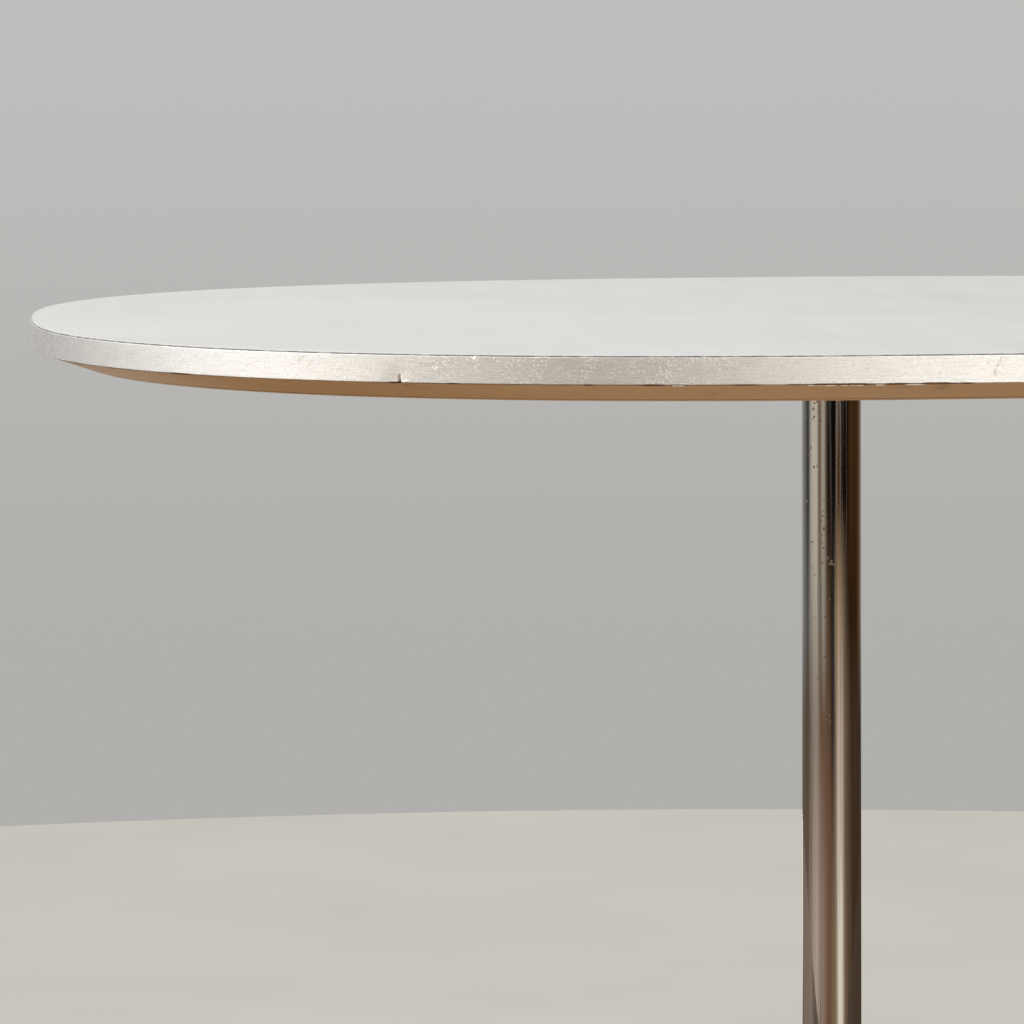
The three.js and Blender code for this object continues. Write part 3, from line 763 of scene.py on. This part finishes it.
def brown_material():
    """Satin brown paint over board: smooth, faintly streaky along the edge, with small dark chips."""
    material, shader = new_material("brown_board")
    place = object_place()
    run = add_node("TexCoord").outputs["UV"]
    streaks = noise(scaled(run, 9.0, 180.0, 1.0), 1.0, 4.0)
    blotch = noise(place, 120.0, 4.0)
    tones = [(0.3, (0.49, 0.262, 0.100)), (0.5, (0.53, 0.286, 0.111)), (0.72, (0.57, 0.312, 0.124))]
    colour = ramp(mix(0.4, streaks, blotch), tones)
    dot = fade(cells(place, 300.0), 0.22, 0.12)
    rare = fade(noise(place, 45.0, 3.0), 0.62, 0.70)
    chips = times(dot, rare)
    crumbs = fade(noise(place, 800.0, 3.0, 0.7), 0.53, 0.56)
    radius, _, _ = axis_box("edge_band")
    _, bottom, _ = axis_box("backing_sheet")
    for degrees, inset, rise, size in PAINT_CHIPS:
        point = rim_point(degrees, radius - inset * MM, bottom + rise * MM)
        patch = fade(distance_to(place, point), size * MM, size * MM * 0.3)
        chips = strongest(chips, times(patch, crumbs))
    feed(shader, {
        "Base Color": mix(times(chips, 0.8), colour, (0.10, 0.05, 0.02)),
        "Roughness": blend(streaks, 0.30, 0.33),
        "Specular IOR Level": 0.5,
        "Normal": bump(noise(place, 500.0, 2.0), 0.00001),
    })
    return material


RUST_SIDE = math.radians(-136)  # the side of the column that has most of the pits
RUST_HEIGHTS = (0.52, 0.60)  # metres: below the first the side has no more pits than the rest of the column


def chrome_material(name, pit_share, drawn=False):
    """Polished chrome with small brown pits, a thin haze and a slight ripple.

    A drawn tube has its haze in fine lines along it, and more pits on one side.
    """
    material, shader = new_material(name)
    place = object_place()
    pit = fade(cells(place, 430.0), 0.40, 0.22)
    zone_noise = noise(scaled(place, 120.0, 120.0, 70.0), 1.0, 4.0, 0.6)
    threshold = 0.66 - 0.1 * pit_share
    haze_scale, haze_share = (30.0, 30.0, 30.0), 0.15
    if drawn:
        haze_scale, haze_share = (1300.0, 1300.0, 7.0), 0.5
        tube_radius = axis_box("column_tube")[0]
        rust_side = (math.cos(RUST_SIDE), math.sin(RUST_SIDE), 0.0)
        flat_place = scaled(place, 1.0, 1.0, 0.0)
        side = add_node("VectorMath", {0: flat_place, 1: rust_side}, operation="DOT_PRODUCT")
        lean = fade(side.outputs["Value"], 0.70 * tube_radius, 0.97 * tube_radius)
        height = part_of(place, "Z")
        upper = fade(height, *RUST_HEIGHTS)
        zone_noise = maths("MULTIPLY_ADD", times(lean, upper), 0.14, zone_noise)
    zone = fade(zone_noise, threshold, threshold + 0.05)
    pits = times(fade(times(pit, zone), 0.3, 0.8), 0.75)
    lines = noise(scaled(place, *haze_scale), 1.0, 3.0)
    haze = times(fade(lines, 0.48, 0.66), haze_share)
    plate = mix(haze, (0.82, 0.805, 0.785), (0.50, 0.475, 0.43))
    smooth = maths("MULTIPLY_ADD", haze, 0.16, 0.025)
    ripple = noise(scaled(place, 90.0, 90.0, 5.0), 1.0, 3.0)
    feed(shader, {
        "Base Color": mix(pits, plate, (0.12, 0.066, 0.032)),
        "Metallic": maths("MULTIPLY_ADD", pits, -0.3, 1.0),
        "Roughness": mix(pits, smooth, 0.45),
        "Normal": bump(lines, 0.000002, Normal=bump(ripple, 0.00004)),
    })
    return material


add_camera()
add_world()
add_floor()
add_softbox("overhead", (-1.05, -0.75, 2.6), (0, 0, 0.7), (2.4, 2.4), 21, (1, 0.985, 0.965))
scene.view_settings.view_transform = "Standard"

MATERIALS = {
    **{name: mottled_material(name, **look) for name, look in MOTTLED.items()},
    "white_laminate": laminate_material(),
    "brushed_aluminium": aluminium_material(),
    "brown_board": brown_material(),
    "chromed_steel": chrome_material("chromed_steel", 0.3),
    "chromed_tube": chrome_material("chromed_tube", 0.2, drawn=True),
}
for part in frame["record"]["subparts"]:
    node = frame["nodes"][part["node"]]
    node.data.materials.clear()
    node.data.materials.append(MATERIALS[part["material_slot"]])


# ---------- the top ----------

BOARD_GAP = 0.3 * MM  # between the board and the band in the CAD model
DECOR_DEPTH = 0.38 * MM  # the white layer's share of the laminate's cut edge
DENT_ANGLE = -124.85  # degrees
BURR_ANGLE = -120.2
SEAM_ANGLE = 90.0
SEAM_HALF = 0.035  # degrees
MM_PER_DEGREE = 7.0  # along the band near the dent

# Stretches where the band stands off the board: first and last angle in degrees, and the gap in millimetres.
GAPS = [
    (-156.8, -154.4, 0.30), (-150.5, -148.6, 0.25), (-143.1, -140.4, 0.50), (-125.9, -124.5, 0.55),
    (-122.1, -120.8, 0.45), (-113.9, -112.8, 0.40), (-110.6, -108.5, 0.60), (-105.2, -103.0, 0.40),
    (-101.9, -100.2, 0.32), (-100.4, -96.2, 0.75), (-95.9, -93.8, 0.65), (-93.8, -91.2, 0.8),
    (-91.3, -89.9, 0.4), (-101.0, -90.6, 0.28), (-160.0, -137.0, 0.12), (-127.0, -102.5, 0.12),
    (-60.0, -52.0, 0.45), (10.0, 16.0, 0.4), (87.0, 93.0, 0.3), (140.0, 151.0, 0.45),
]
BAND_SHARE = 0.4  # how much of a gap is in the band's edge; the rest is in the board's
WORN_DEPTH = 0.45 * MM
# Stretches of the board's edge whose paint has rubbed off: first and last angle in degrees.
WORN = [
    (-108.4, -107.7), (-100.4, -98.6), (-98.3, -96.9), (-96.2, -95.6), (-94.4, -93.1), (-58.0, -56.0),
    (144.0, 146.0),
]


def signed_degrees(angle):
    return (math.degrees(angle) + 180) % 360 - 180


def is_worn(degrees):
    return any(start < degrees < end for start, end in WORN)


def gap_height(degrees):
    total = 0.0
    for start, end, height in GAPS:
        ends = min((end - start) * 0.45, 0.8)
        rise = smooth_step(start, start + ends, degrees) * (1 - smooth_step(end - ends, end, degrees))
        total = max(total, height * rise)
    return total * MM


def add_laminate():
    radius, bottom, top = axis_box("top_laminate")
    decor = top - DECOR_DEPTH
    profile = soften([(0, bottom), (radius, bottom), (radius, decor), (radius, top), (0, top)], 0.15 * MM)
    looks = "white_laminate", "laminate_edge"
    sheet = turned("laminate_sheet", profile, 1440, "white_laminate", "top_laminate", *looks, shape=squared)
    for polygon in sheet.data.polygons:
        if polygon.center.xy.length > radius * 0.9 and polygon.center.z < decor:
            polygon.material_index = 1


def add_band():
    radius, bottom, top = axis_box("edge_band")
    inner = radius - 3 * MM
    tongue = inner - 6 * MM
    tongue_bottom = (bottom + top) / 2 - 1 * MM
    tongue_top = tongue_bottom + 2 * MM
    rows = 18
    edge = 0.15 * MM  # size of the rounded edges
    face = [(radius, bottom + 2 * edge + (top - bottom - 4 * edge) * i / rows) for i in range(rows + 1)]
    profile = [
        (inner, bottom), (radius - 1.5 * edge, bottom), (radius - edge, bottom),
        (radius - edge * 0.3, bottom + edge * 0.3), (radius, bottom + edge), *face,
        (radius, top - edge), (radius - edge * 0.3, top - edge * 0.3), (radius - edge, top),
        (radius - 1.5 * edge, top), (inner, top),
        (inner, tongue_top), (tongue, tongue_top), (tongue, tongue_bottom), (inner, tongue_bottom),
    ]
    depth = top - bottom

    def worn(angle, r, z):
        degrees = signed_degrees(angle)
        low = smooth_step(0, 1, (top - z) / depth)
        if r > inner - 0.1 * MM:
            z += gap_height(degrees) * low * BAND_SHARE
        if r > inner + 0.1 * MM:
            along = (degrees - DENT_ANGLE) * MM_PER_DEGREE
            height = (z - bottom) / MM
            notch = bell(along, 0.6) * max(0, 1 - height / 3.6)
            hollow = bell(along + 3.5, 4.0) * max(0, 1 - height / 8)
            lip = bell(along - 1.5, 0.8) * max(0, 1 - height / 2.6)
            burr = bell((degrees - BURR_ANGLE) * MM_PER_DEGREE, 0.6) * smooth_step(10.4, 11.1, height)
            seam = 1 if abs(degrees - SEAM_ANGLE) < SEAM_HALF else 0
            r += (-0.7 * notch - 0.22 * hollow + 0.22 * lip - 0.35 * burr - 1.6 * seam) * MM
            z += 0.9 * bell(along, 0.7) * max(0, 1 - height / 1.5) * MM
            r = min(r, radius)
        return r * stretch(angle), z

    spots = [(DENT_ANGLE, 1.4, 0.03), (BURR_ANGLE, 0.3, 0.03), (SEAM_ANGLE, 0.06, 0.01)]
    spots += [(side, 0.8, 0.08) for start, end, _ in GAPS for side in (start, end)]
    angles = detailed_angles(2880, spots)
    band = lathe("aluminium_band", profile, angles, shape=worn, closed=True)
    finish_piece(band, "brushed_aluminium", "edge_band")


def bevel_slope():
    """How far the bevel runs inwards for each metre of height."""
    radius = axis_box("core_board")[0]
    sheet_radius, _, sheet_top = axis_box("backing_sheet")
    ledge = axis_box("edge_band")[1] - BOARD_GAP
    return (radius - sheet_radius) / (ledge - sheet_top)


def outer_faces(piece, inset, low, high):
    """The faces of a squared-off piece near its outline and between two heights, with their angles."""
    widest = max(v.co.x for v in piece.data.vertices)
    for polygon in piece.data.polygons:
        centre = polygon.center
        angle = math.atan2(centre.y, centre.x)
        if low < centre.z < high and centre.xy.length > (widest - inset) * stretch(angle):
            yield polygon, math.degrees(angle)


def add_board():
    radius, bottom, top = axis_box("core_board")
    band_radius, band_bottom, _ = axis_box("edge_band")
    sheet_radius, _, sheet_top = axis_box("backing_sheet")
    head_radius, _, head_top = axis_box("tie_rod")
    rise = band_bottom - 0.08 * MM
    slope = bevel_slope()
    foot = sheet_radius + slope * (bottom - sheet_top)
    shoulder = band_radius - 3.3 * MM
    worn_radius = radius - slope * WORN_DEPTH
    profile = [
        (0, head_top + 2 * MM), (head_radius + 2 * MM, head_top + 2 * MM), (head_radius + 2 * MM, bottom),
        (foot, bottom), (worn_radius, rise - WORN_DEPTH), (radius, rise),
        (shoulder, rise), (shoulder, top), (0, top),
    ]

    def chipped(angle, r, z):
        degrees = signed_degrees(angle)
        at_edge = r > worn_radius - 0.01 * MM and z > rise - WORN_DEPTH - 0.01 * MM
        if at_edge and is_worn(degrees):
            r = radius - 0.05 * MM * (1 + math.sin(40 * degrees) * math.sin(23 * degrees))
        if r > shoulder - 0.1 * MM and rise - 0.3 * MM < z < rise + 0.1 * MM:
            z -= gap_height(degrees) * (1 - BAND_SHARE)
        return squared(angle, r, z)

    profile = soften(profile, 0.3 * MM)
    looks = "brown_board", "worn_board_edge"
    board = turned("brown_board", profile, 5760, "brown_board", "core_board", *looks, shape=chipped)
    for polygon, degrees in outer_faces(board, 1.6 * MM, rise - WORN_DEPTH - 0.4 * MM, rise + 0.01 * MM):
        lowest = min(board.data.vertices[v].co.z for v in polygon.vertices)
        if is_worn(degrees) and lowest > rise - WORN_DEPTH - 0.02 * MM - gap_height(degrees):
            polygon.material_index = 1


def add_backing():
    radius, bottom, top = axis_box("backing_sheet")
    head_radius = axis_box("tie_rod")[0] + 2 * MM
    foot = radius - bevel_slope() * (top - bottom)
    corners = [(head_radius, bottom), (foot, bottom), (radius, top), (head_radius, top)]
    sheet = turned(
        "backing_laminate_sheet", soften_ring(corners, 0.1 * MM), 1440, "backing_laminate", "backing_sheet",
        "backing_laminate", "brown_board", shape=squared, closed=True,
    )
    for polygon, _ in outer_faces(sheet, radius - foot + 0.1 * MM, bottom + 0.02 * MM, top + 0.1 * MM):
        polygon.material_index = 1


# ---------- threads, hexagons and turned fasteners ----------

def thread(radius, depth, pitch):
    """Moves a profile point to the surface of a screw thread. For points at the given radius only."""
    def shape(angle, r, z):
        if abs(r - radius) > 0.001 * MM:
            return r, z
        phase = (z / pitch - angle / (2 * math.pi)) % 1
        return r - depth * (1 - abs(2 * phase - 1)) * math.copysign(1, depth), z
    return shape


def threaded_rows(radius, bottom, top, pitch, rows=6):
    count = round((top - bottom) / pitch * rows)
    return [(radius, bottom + (top - bottom) * i / count) for i in range(count + 1)]


def hex_reach(angle, width):
    """Distance from the middle of a hexagon to its side, for a width across its flats."""
    turn = math.pi / 3
    return width / 2 / math.cos((angle % turn) - turn / 2)


def hexed(width, low, high, chamfer=0.55 * MM):
    """Gives the parts between two heights a hexagonal outline with turned chamfers at both ends."""
    corner = width / math.sqrt(3)

    def shape(angle, r, z):
        if r < width / 2 * 0.9 or z < low - 1e-6 or z > high + 1e-6:
            return r, z
        end = min(z - low, high - z)
        cone = corner - max(0, chamfer - end) * 1.9
        return min(hex_reach(angle, width), cone, r), z
    return shape


def both(*shapes):
    def shape(angle, r, z):
        for one in shapes:
            r, z = one(angle, r, z)
        return r, z
    return shape


def nut(name, width, bore, bottom, top, pitch):
    """A hexagon nut on Z, with its bore threaded and countersunk."""
    corner = width / math.sqrt(3)
    chamfer = 0.55 * MM
    outside = [bottom, bottom + chamfer / 2, bottom + chamfer, (bottom + top) / 2]
    outside += [top - chamfer, top - chamfer / 2, top]
    sink = 0.5 * MM
    inside = threaded_rows(bore, top - sink, bottom + sink, pitch)
    profile = [(bore + sink, bottom), *[(corner, z) for z in outside], (bore + sink, top), *inside]
    shape = both(hexed(width, bottom, top), thread(bore, 0.15 * MM, pitch))
    return lathe(name, profile, 72, shape=shape, closed=True, sharp=28)


def washer(name, inner, outer, bottom, top):
    edge = 0.25 * MM
    profile = soften_ring([(inner, bottom), (outer, bottom), (outer, top), (inner, top)], edge)
    return lathe(name, profile, 64, closed=True)


# ---------- what holds the top ----------

def rounded_square(width, corner, inset=0.0):
    half = width / 2 - inset
    return rounded_box_ring(half, -half, half, corner - inset, 10)


def screw_places():
    """The number and the place of each wood screw."""
    for number in range(1, 9):
        start, end = span(f"plate_screw_{number}")
        yield number, (start.x + end.x) / 2, (start.y + end.y) / 2


def add_plate():
    low, high = span("mounting_plate")
    width = high.x - low.x
    edge = 0.5 * MM
    bevel = edge * 0.3
    levels = [(low.z, edge), (low.z + bevel, bevel), (low.z + edge, 0), (high.z - edge, 0), (high.z, edge)]
    sections = [[(x, y, z) for x, y in rounded_square(width, PLATE_CORNER, inset)] for z, inset in levels]
    plate = loft("fixing_plate", sections)
    outlines = [round_outline(ROD_HOLE)]
    outlines += [round_outline(SCREW_HOLE, 32, x, y) for _, x, y in screw_places()]
    drills = [prism("drill", outline, low.z - MM, high.z + MM) for outline in outlines]
    cut(plate, drills)
    finish_piece(plate, "zinc_steel", "mounting_plate")


def add_wood_screws():
    """Pan-head screws with a cross recess and a coarse thread."""
    low, high = span("plate_screw_1")
    head = (high.x - low.x) / 2
    shank = 2.25 * MM
    head_height = 2.6 * MM
    seat = low.z + head_height
    pitch = 1.8 * MM
    rises = [math.pi / 2 * i / 8 for i in range(1, 8)]
    dome = [(head * math.sin(a), seat - head_height * math.cos(a) ** 0.8) for a in rises]
    tip = high.z - 3 * MM
    profile = [(0, low.z), *dome, (head, seat - 0.3 * MM), (head * 0.97, seat), (shank, seat)]
    profile += threaded_rows(shank, seat + 0.4 * MM, tip, pitch)
    profile += [(shank * 0.5, high.z - 1.2 * MM), (0, high.z)]
    screw = lathe("screw_pattern", profile, 32, shape=thread(shank, 0.55 * MM, pitch), sharp=50)
    outline = rectangle(-2.3 * MM, 2.3 * MM, 0.42 * MM)
    recess = [prism("arm", outline, low.z - MM, low.z + 1.5 * MM) for _ in range(2)]
    moved(recess[1], spin(math.pi / 2))
    cut(screw, recess)
    for number, x, y in screw_places():
        turn = spin(number * 1.1)
        piece = copy_of(screw, f"wood_screw_{number}", Matrix.Translation((x, y, 0)) @ turn)
        finish_piece(piece, "zinc_steel", f"plate_screw_{number}")
    bpy.data.objects.remove(screw)


def add_spigot():
    """The turned flange and spigot, with a weld bead where the flange meets the plate."""
    flange, bottom, top = axis_box("top_spigot")
    column, _, tube_top = axis_box("column_tube")
    spigot = column - 2.3 * MM
    seat = tube_top + FIT
    weld_size = 2.2 * MM
    profile = soften_ring([
        (ROD_HOLE, bottom), (spigot - 1 * MM, bottom), (spigot, bottom + 1 * MM), (spigot, seat),
        (flange, seat), (flange, top - weld_size), (flange + weld_size, top), (ROD_HOLE, top),
    ], 0.5 * MM)

    def weld(angle, r, z):
        if r > flange + 0.2 * MM:
            r += 0.35 * MM * math.sin(angle * 61) * math.cos(angle * 7)
        return r, z

    turned("spigot_flange", profile, 360, "zinc_steel", "top_spigot", shape=weld, closed=True)


# ---------- the column ----------

def add_column():
    radius, bottom, top = axis_box("column_tube")
    wall = 2 * MM
    profile = soften_ring([
        (radius - wall, bottom), (radius, bottom), (radius, top), (radius - wall, top),
    ], 0.3 * MM)
    turned("chromed_column", profile, 192, "chromed_steel", "column_tube", "chromed_tube", closed=True)


def add_collar():
    outer, bottom, top = axis_box("column_collar")
    inner = axis_box("column_tube")[0] + FIT
    profile = soften_ring([
        (inner, bottom), (outer, bottom), (outer, top - 2 * MM), (outer - 2 * MM, top), (inner, top),
    ], 1.2 * MM, 5)
    turned("collar_ring", profile, 192, "chromed_steel", "column_collar", closed=True)


def add_tie_rod():
    head, bottom, top = axis_box("tie_rod")
    radius = 5 * MM
    pitch = 1.5 * MM
    seat = top - 5 * MM
    thread_end = bottom + 34 * MM
    plain = radius - 0.01 * MM
    profile = [
        (0, bottom), (radius - 1 * MM, bottom), *threaded_rows(radius, bottom + 1 * MM, thread_end, pitch),
        (plain, thread_end + 1 * MM), (plain, seat), (head, seat), (head, seat + 1.5 * MM),
        (head * 0.9, seat + 3.5 * MM), (head * 0.7, top), (0, top),
    ]
    screwed = thread(radius, 0.7 * MM, pitch)
    turned("rod_through_column", profile, 48, "zinc_steel", "tie_rod", shape=screwed, sharp=45)

    outer, low, high = axis_box("tie_rod_washer")
    disc = washer("rod_washer", radius + FIT, outer, low, high)
    finish_piece(disc, "zinc_steel", "tie_rod_washer")

    _, low, high = axis_box("tie_rod_nut")
    hexagon = nut("rod_nut", ROD_WIDTH, radius + FIT, low, high, pitch)
    finish_piece(hexagon, "zinc_steel", "tie_rod_nut")


# ---------- the base ----------

def add_hub():
    radius, bottom, top = axis_box("base_hub")
    tube, seat, _ = axis_box("column_tube")
    seat -= FIT
    cavity_top = axis_box("tie_rod_washer")[2] + 0.1 * MM
    root, leg_high = span("leg_1", ARM_ANGLE[1])
    bore = tube + FIT
    profile = soften_ring([
        (ROD_HOLE, bottom), (radius - 1.5 * MM, bottom), (radius, bottom + 1.5 * MM),
        (radius, top - 20 * MM), (radius - 3 * MM, top - 16 * MM),
        (HUB_NECK + 2 * MM, top - 8 * MM), (HUB_NECK, top - 4 * MM),
        (HUB_NECK, top), (bore, top), (bore, seat), (ROD_HOLE, seat),
    ], 2.5 * MM, 6)
    hub = lathe("hub_casting", profile, 256, closed=True)
    outline = rectangle(-CAVITY_HALF, CAVITY_HALF, CAVITY_HALF)
    square = moved(prism("square", outline, bottom - MM, cavity_top), spin(ARM_ANGLE[1]))
    round_end = prism("round", round_outline(CAVITY_RADIUS, 96), bottom - 2 * MM, cavity_top + MM)
    cutters = [cut(square, [round_end], "INTERSECT")]
    pocket_ring = rounded_box_ring(POCKET_HALF, POCKET_FLOOR, leg_high.z + FIT, 2.2 * MM)
    ends = [[(x, y, z) for y, z in pocket_ring] for x in (root.x - FIT, root.x + 40 * MM)]
    for angle in ARM_ANGLE.values():
        cutters.append(moved(loft("pocket", ends), standing(angle)))
        drill = prism("drill", round_outline(BOLT_HOLE, 32), 20 * MM, 38 * MM)
        cutters.append(moved(drill, at_bolt(angle)))
    cut(hub, cutters)
    finish_piece(hub, "chromed_steel", "base_hub")

    cover, low, high = axis_box("hub_cover")
    flange_top = bottom - 0.1 * MM
    dish = low + 0.6 * MM
    rim_inside = COVER_RIM - 1.9 * MM
    profile = soften([
        (0, dish), (cover - 9 * MM, dish), (cover - 10 * MM, low), (cover - 1.5 * MM, low),
        (cover, flange_top - 1 * MM), (cover, flange_top), (COVER_RIM, flange_top), (COVER_RIM, high),
        (rim_inside, high), (rim_inside, flange_top), (0, flange_top),
    ], 0.4 * MM)
    turned("cover_cap", profile, 160, "black_plastic", "hub_cover")


def leg_pattern():
    """One leg on +X, as sections from its root in the hub to its round tip."""
    low, high = span("leg_1", ARM_ANGLE[1])
    points = [spin(-ARM_ANGLE[1]) @ v.co for v in frame["nodes"]["leg_1"].data.vertices]
    at_root = [p for p in points if p.x < low.x + 0.5 * MM]
    at_tip = [p for p in points if p.x > high.x - 4 * MM]
    root_bottom = min(p.z for p in at_root)
    tip_bottom, tip_top = low.z, max(p.z for p in at_tip)
    root_half, tip_half = (high.y - low.y) / 2, 10 * MM
    waist = axis_box("base_hub")[0]
    nose = high.x - tip_half

    def half_width(x):
        if x <= waist:
            return root_half
        if x <= nose:
            return root_half + (tip_half - root_half) * (x - waist) / (nose - waist)
        return math.sqrt(max(tip_half ** 2 - (x - nose) ** 2, 0))

    def upper(x):
        along = min((x - low.x) / (high.x - low.x), 1)
        height = tip_top + (high.z - tip_top) * (1 - along) ** LEG_CURVE
        nose_drop = max(0, (x - (high.x - 6 * MM)) / (6 * MM))
        return height - 5 * MM * (1 - math.sqrt(1 - min(nose_drop, 1) ** 2))

    stations = [low.x + (nose - low.x) * i / 44 for i in range(45)]
    stations += [nose + tip_half * math.sin(math.pi / 2 * i / 14) for i in range(1, 14)]
    stations.append(high.x - 0.02 * MM)
    sections = []
    for x in stations:
        bottom = root_bottom + (tip_bottom - root_bottom) * (x - low.x) / (high.x - low.x)
        ring = rounded_box_ring(half_width(x), bottom, upper(x), 3.5 * MM, 7)
        sections.append([(x, y, z) for y, z in ring])
    leg = loft("leg_pattern", sections)
    glide_x = glide_distance()
    insert_high = span("glide_insert_1")[1]
    outline = round_outline(INSERT_HOLE, 48, glide_x)
    insert_hole = prism("hole", outline, tip_bottom - 2 * MM, insert_high.z + FIT)
    bolt_hole = moved(prism("hole", round_outline(BOLT_HOLE, 32), 30 * MM, 54 * MM), at_bolt(0))
    return cut(leg, [insert_hole, bolt_hole])


def at_bolt(angle):
    return lying(angle, 0, BOLT_HEIGHT)


def glide_distance():
    low, high = span("glide_pad_1", ARM_ANGLE[1])
    return (low.x + high.x) / 2


def add_legs():
    leg = leg_pattern()
    bolt = bolt_pattern()
    low, high = span("leg_washer_1", ARM_ANGLE[1])
    disc = washer("washer_pattern", BOLT_HOLE, (high.y - low.y) / 2, low.x, high.x)
    repeat_round(leg, "star_leg", "chromed_steel", "leg", standing)
    repeat_round(bolt, "socket_bolt", "zinc_steel", "leg_bolt", at_bolt)
    repeat_round(disc, "bolt_washer", "zinc_steel", "leg_washer", at_bolt)


def bolt_pattern():
    """A socket-head bolt on Z, at the distances from the table's axis that it has along its leg."""
    low, high = span("leg_bolt_1", ARM_ANGLE[1])
    head = (high.y - low.y) / 2
    seat = low.x + 8 * MM
    radius = 4 * MM
    pitch = 1.25 * MM
    socket = 3.2 * MM
    floor = low.x + 4.5 * MM
    thread_start = seat + 8 * MM
    profile = [(0, floor), (socket, floor), (socket, low.x + 0.3 * MM), (socket + 0.5 * MM, low.x)]
    profile += [(head - 0.6 * MM, low.x), (head, low.x + 0.6 * MM), (head, seat)]
    profile += [(radius - 0.01 * MM, seat), (radius - 0.01 * MM, thread_start)]
    profile += threaded_rows(radius, thread_start + pitch, high.x - 1 * MM, pitch)
    profile += [(radius - 0.9 * MM, high.x), (0, high.x)]

    def hex_socket(angle, r, z):
        if r <= socket + 0.01 * MM and z < low.x + 6 * MM and r > 1 * MM:
            return hex_reach(angle, 2 * socket * 0.94), z
        return r, z
    shape = both(hex_socket, thread(radius, 0.55 * MM, pitch))
    return lathe("bolt_pattern", profile, 48, shape=shape, sharp=45)


# ---------- the levelling glides ----------

def add_glides():
    x = glide_distance()
    pitch = 1.25 * MM
    low, high = span("glide_insert_1")
    outer = 6.5 * MM
    bore = GLIDE_BORE
    edge = 0.4 * MM
    sink = 0.5 * MM
    profile = [
        (bore + sink, low.z), (outer - edge, low.z), (outer, low.z + edge),
        (outer, high.z - edge), (outer - edge, high.z), (bore + sink, high.z),
        *threaded_rows(bore, high.z - sink, low.z + sink, pitch),
    ]
    screwed = thread(bore, 0.15 * MM, pitch)
    insert = lathe("insert_pattern", profile, 48, shape=screwed, closed=True)

    low, high = span("glide_lock_nut_1")
    lock_nut = nut("lock_nut_pattern", GLIDE_WIDTH, bore, low.z, high.z, pitch)

    low, high = span("glide_spindle_1")
    radius = 4 * MM
    neck = radius - 0.01 * MM
    hex_low, hex_high = 7.5 * MM, 11 * MM
    corner = GLIDE_WIDTH / math.sqrt(3)
    steps = [0, 0.28, 0.55, 1.75, 2.95, 3.22, 3.5]  # of the hexagon's chamfers and side, in millimetres
    profile = [(0, low.z), (radius - 0.8 * MM, low.z), (neck, low.z + 0.8 * MM), (neck, hex_low)]
    profile += [(corner, hex_low + step * MM) for step in steps]
    profile += [(neck, hex_high), *threaded_rows(radius, hex_high + 0.6 * MM, high.z - 1 * MM, pitch)]
    profile += [(radius - 0.8 * MM, high.z), (0, high.z)]
    shape = both(hexed(GLIDE_WIDTH, hex_low, hex_high), thread(radius, 0.6 * MM, pitch))
    spindle = lathe("spindle_pattern", profile, 72, shape=shape, sharp=28)

    low, high = span("glide_pad_1", ARM_ANGLE[1])
    pad_radius = (high.x - low.x) / 2
    socket = span("glide_spindle_1")[0].z - FIT
    profile = soften([
        (0, 0.5 * MM), (pad_radius - 4 * MM, 0.5 * MM), (pad_radius - 4.5 * MM, 0),
        (pad_radius - 1.5 * MM, 0), (pad_radius, 1.5 * MM), (pad_radius, 3.5 * MM),
        (pad_radius - 6 * MM, high.z), (bore, high.z), (bore, socket), (0, socket),
    ], 0.6 * MM, 4)
    pad = lathe("pad_pattern", profile, 96)

    def at_glide(angle):
        return standing(angle, x)

    repeat_round(insert, "threaded_insert", "zinc_steel", "glide_insert", at_glide)
    repeat_round(lock_nut, "lock_nut", "zinc_steel", "glide_lock_nut", at_glide)
    repeat_round(spindle, "levelling_screw", "zinc_steel", "glide_spindle", at_glide, "glide_spindle")
    repeat_round(pad, "foot_pad", "black_plastic", "glide_pad", at_glide, "glide_pad")


add_laminate()
add_band()
add_board()
add_backing()
add_plate()
add_wood_screws()
add_spigot()
add_column()
add_collar()
add_tie_rod()
add_hub()
add_legs()
add_glides()
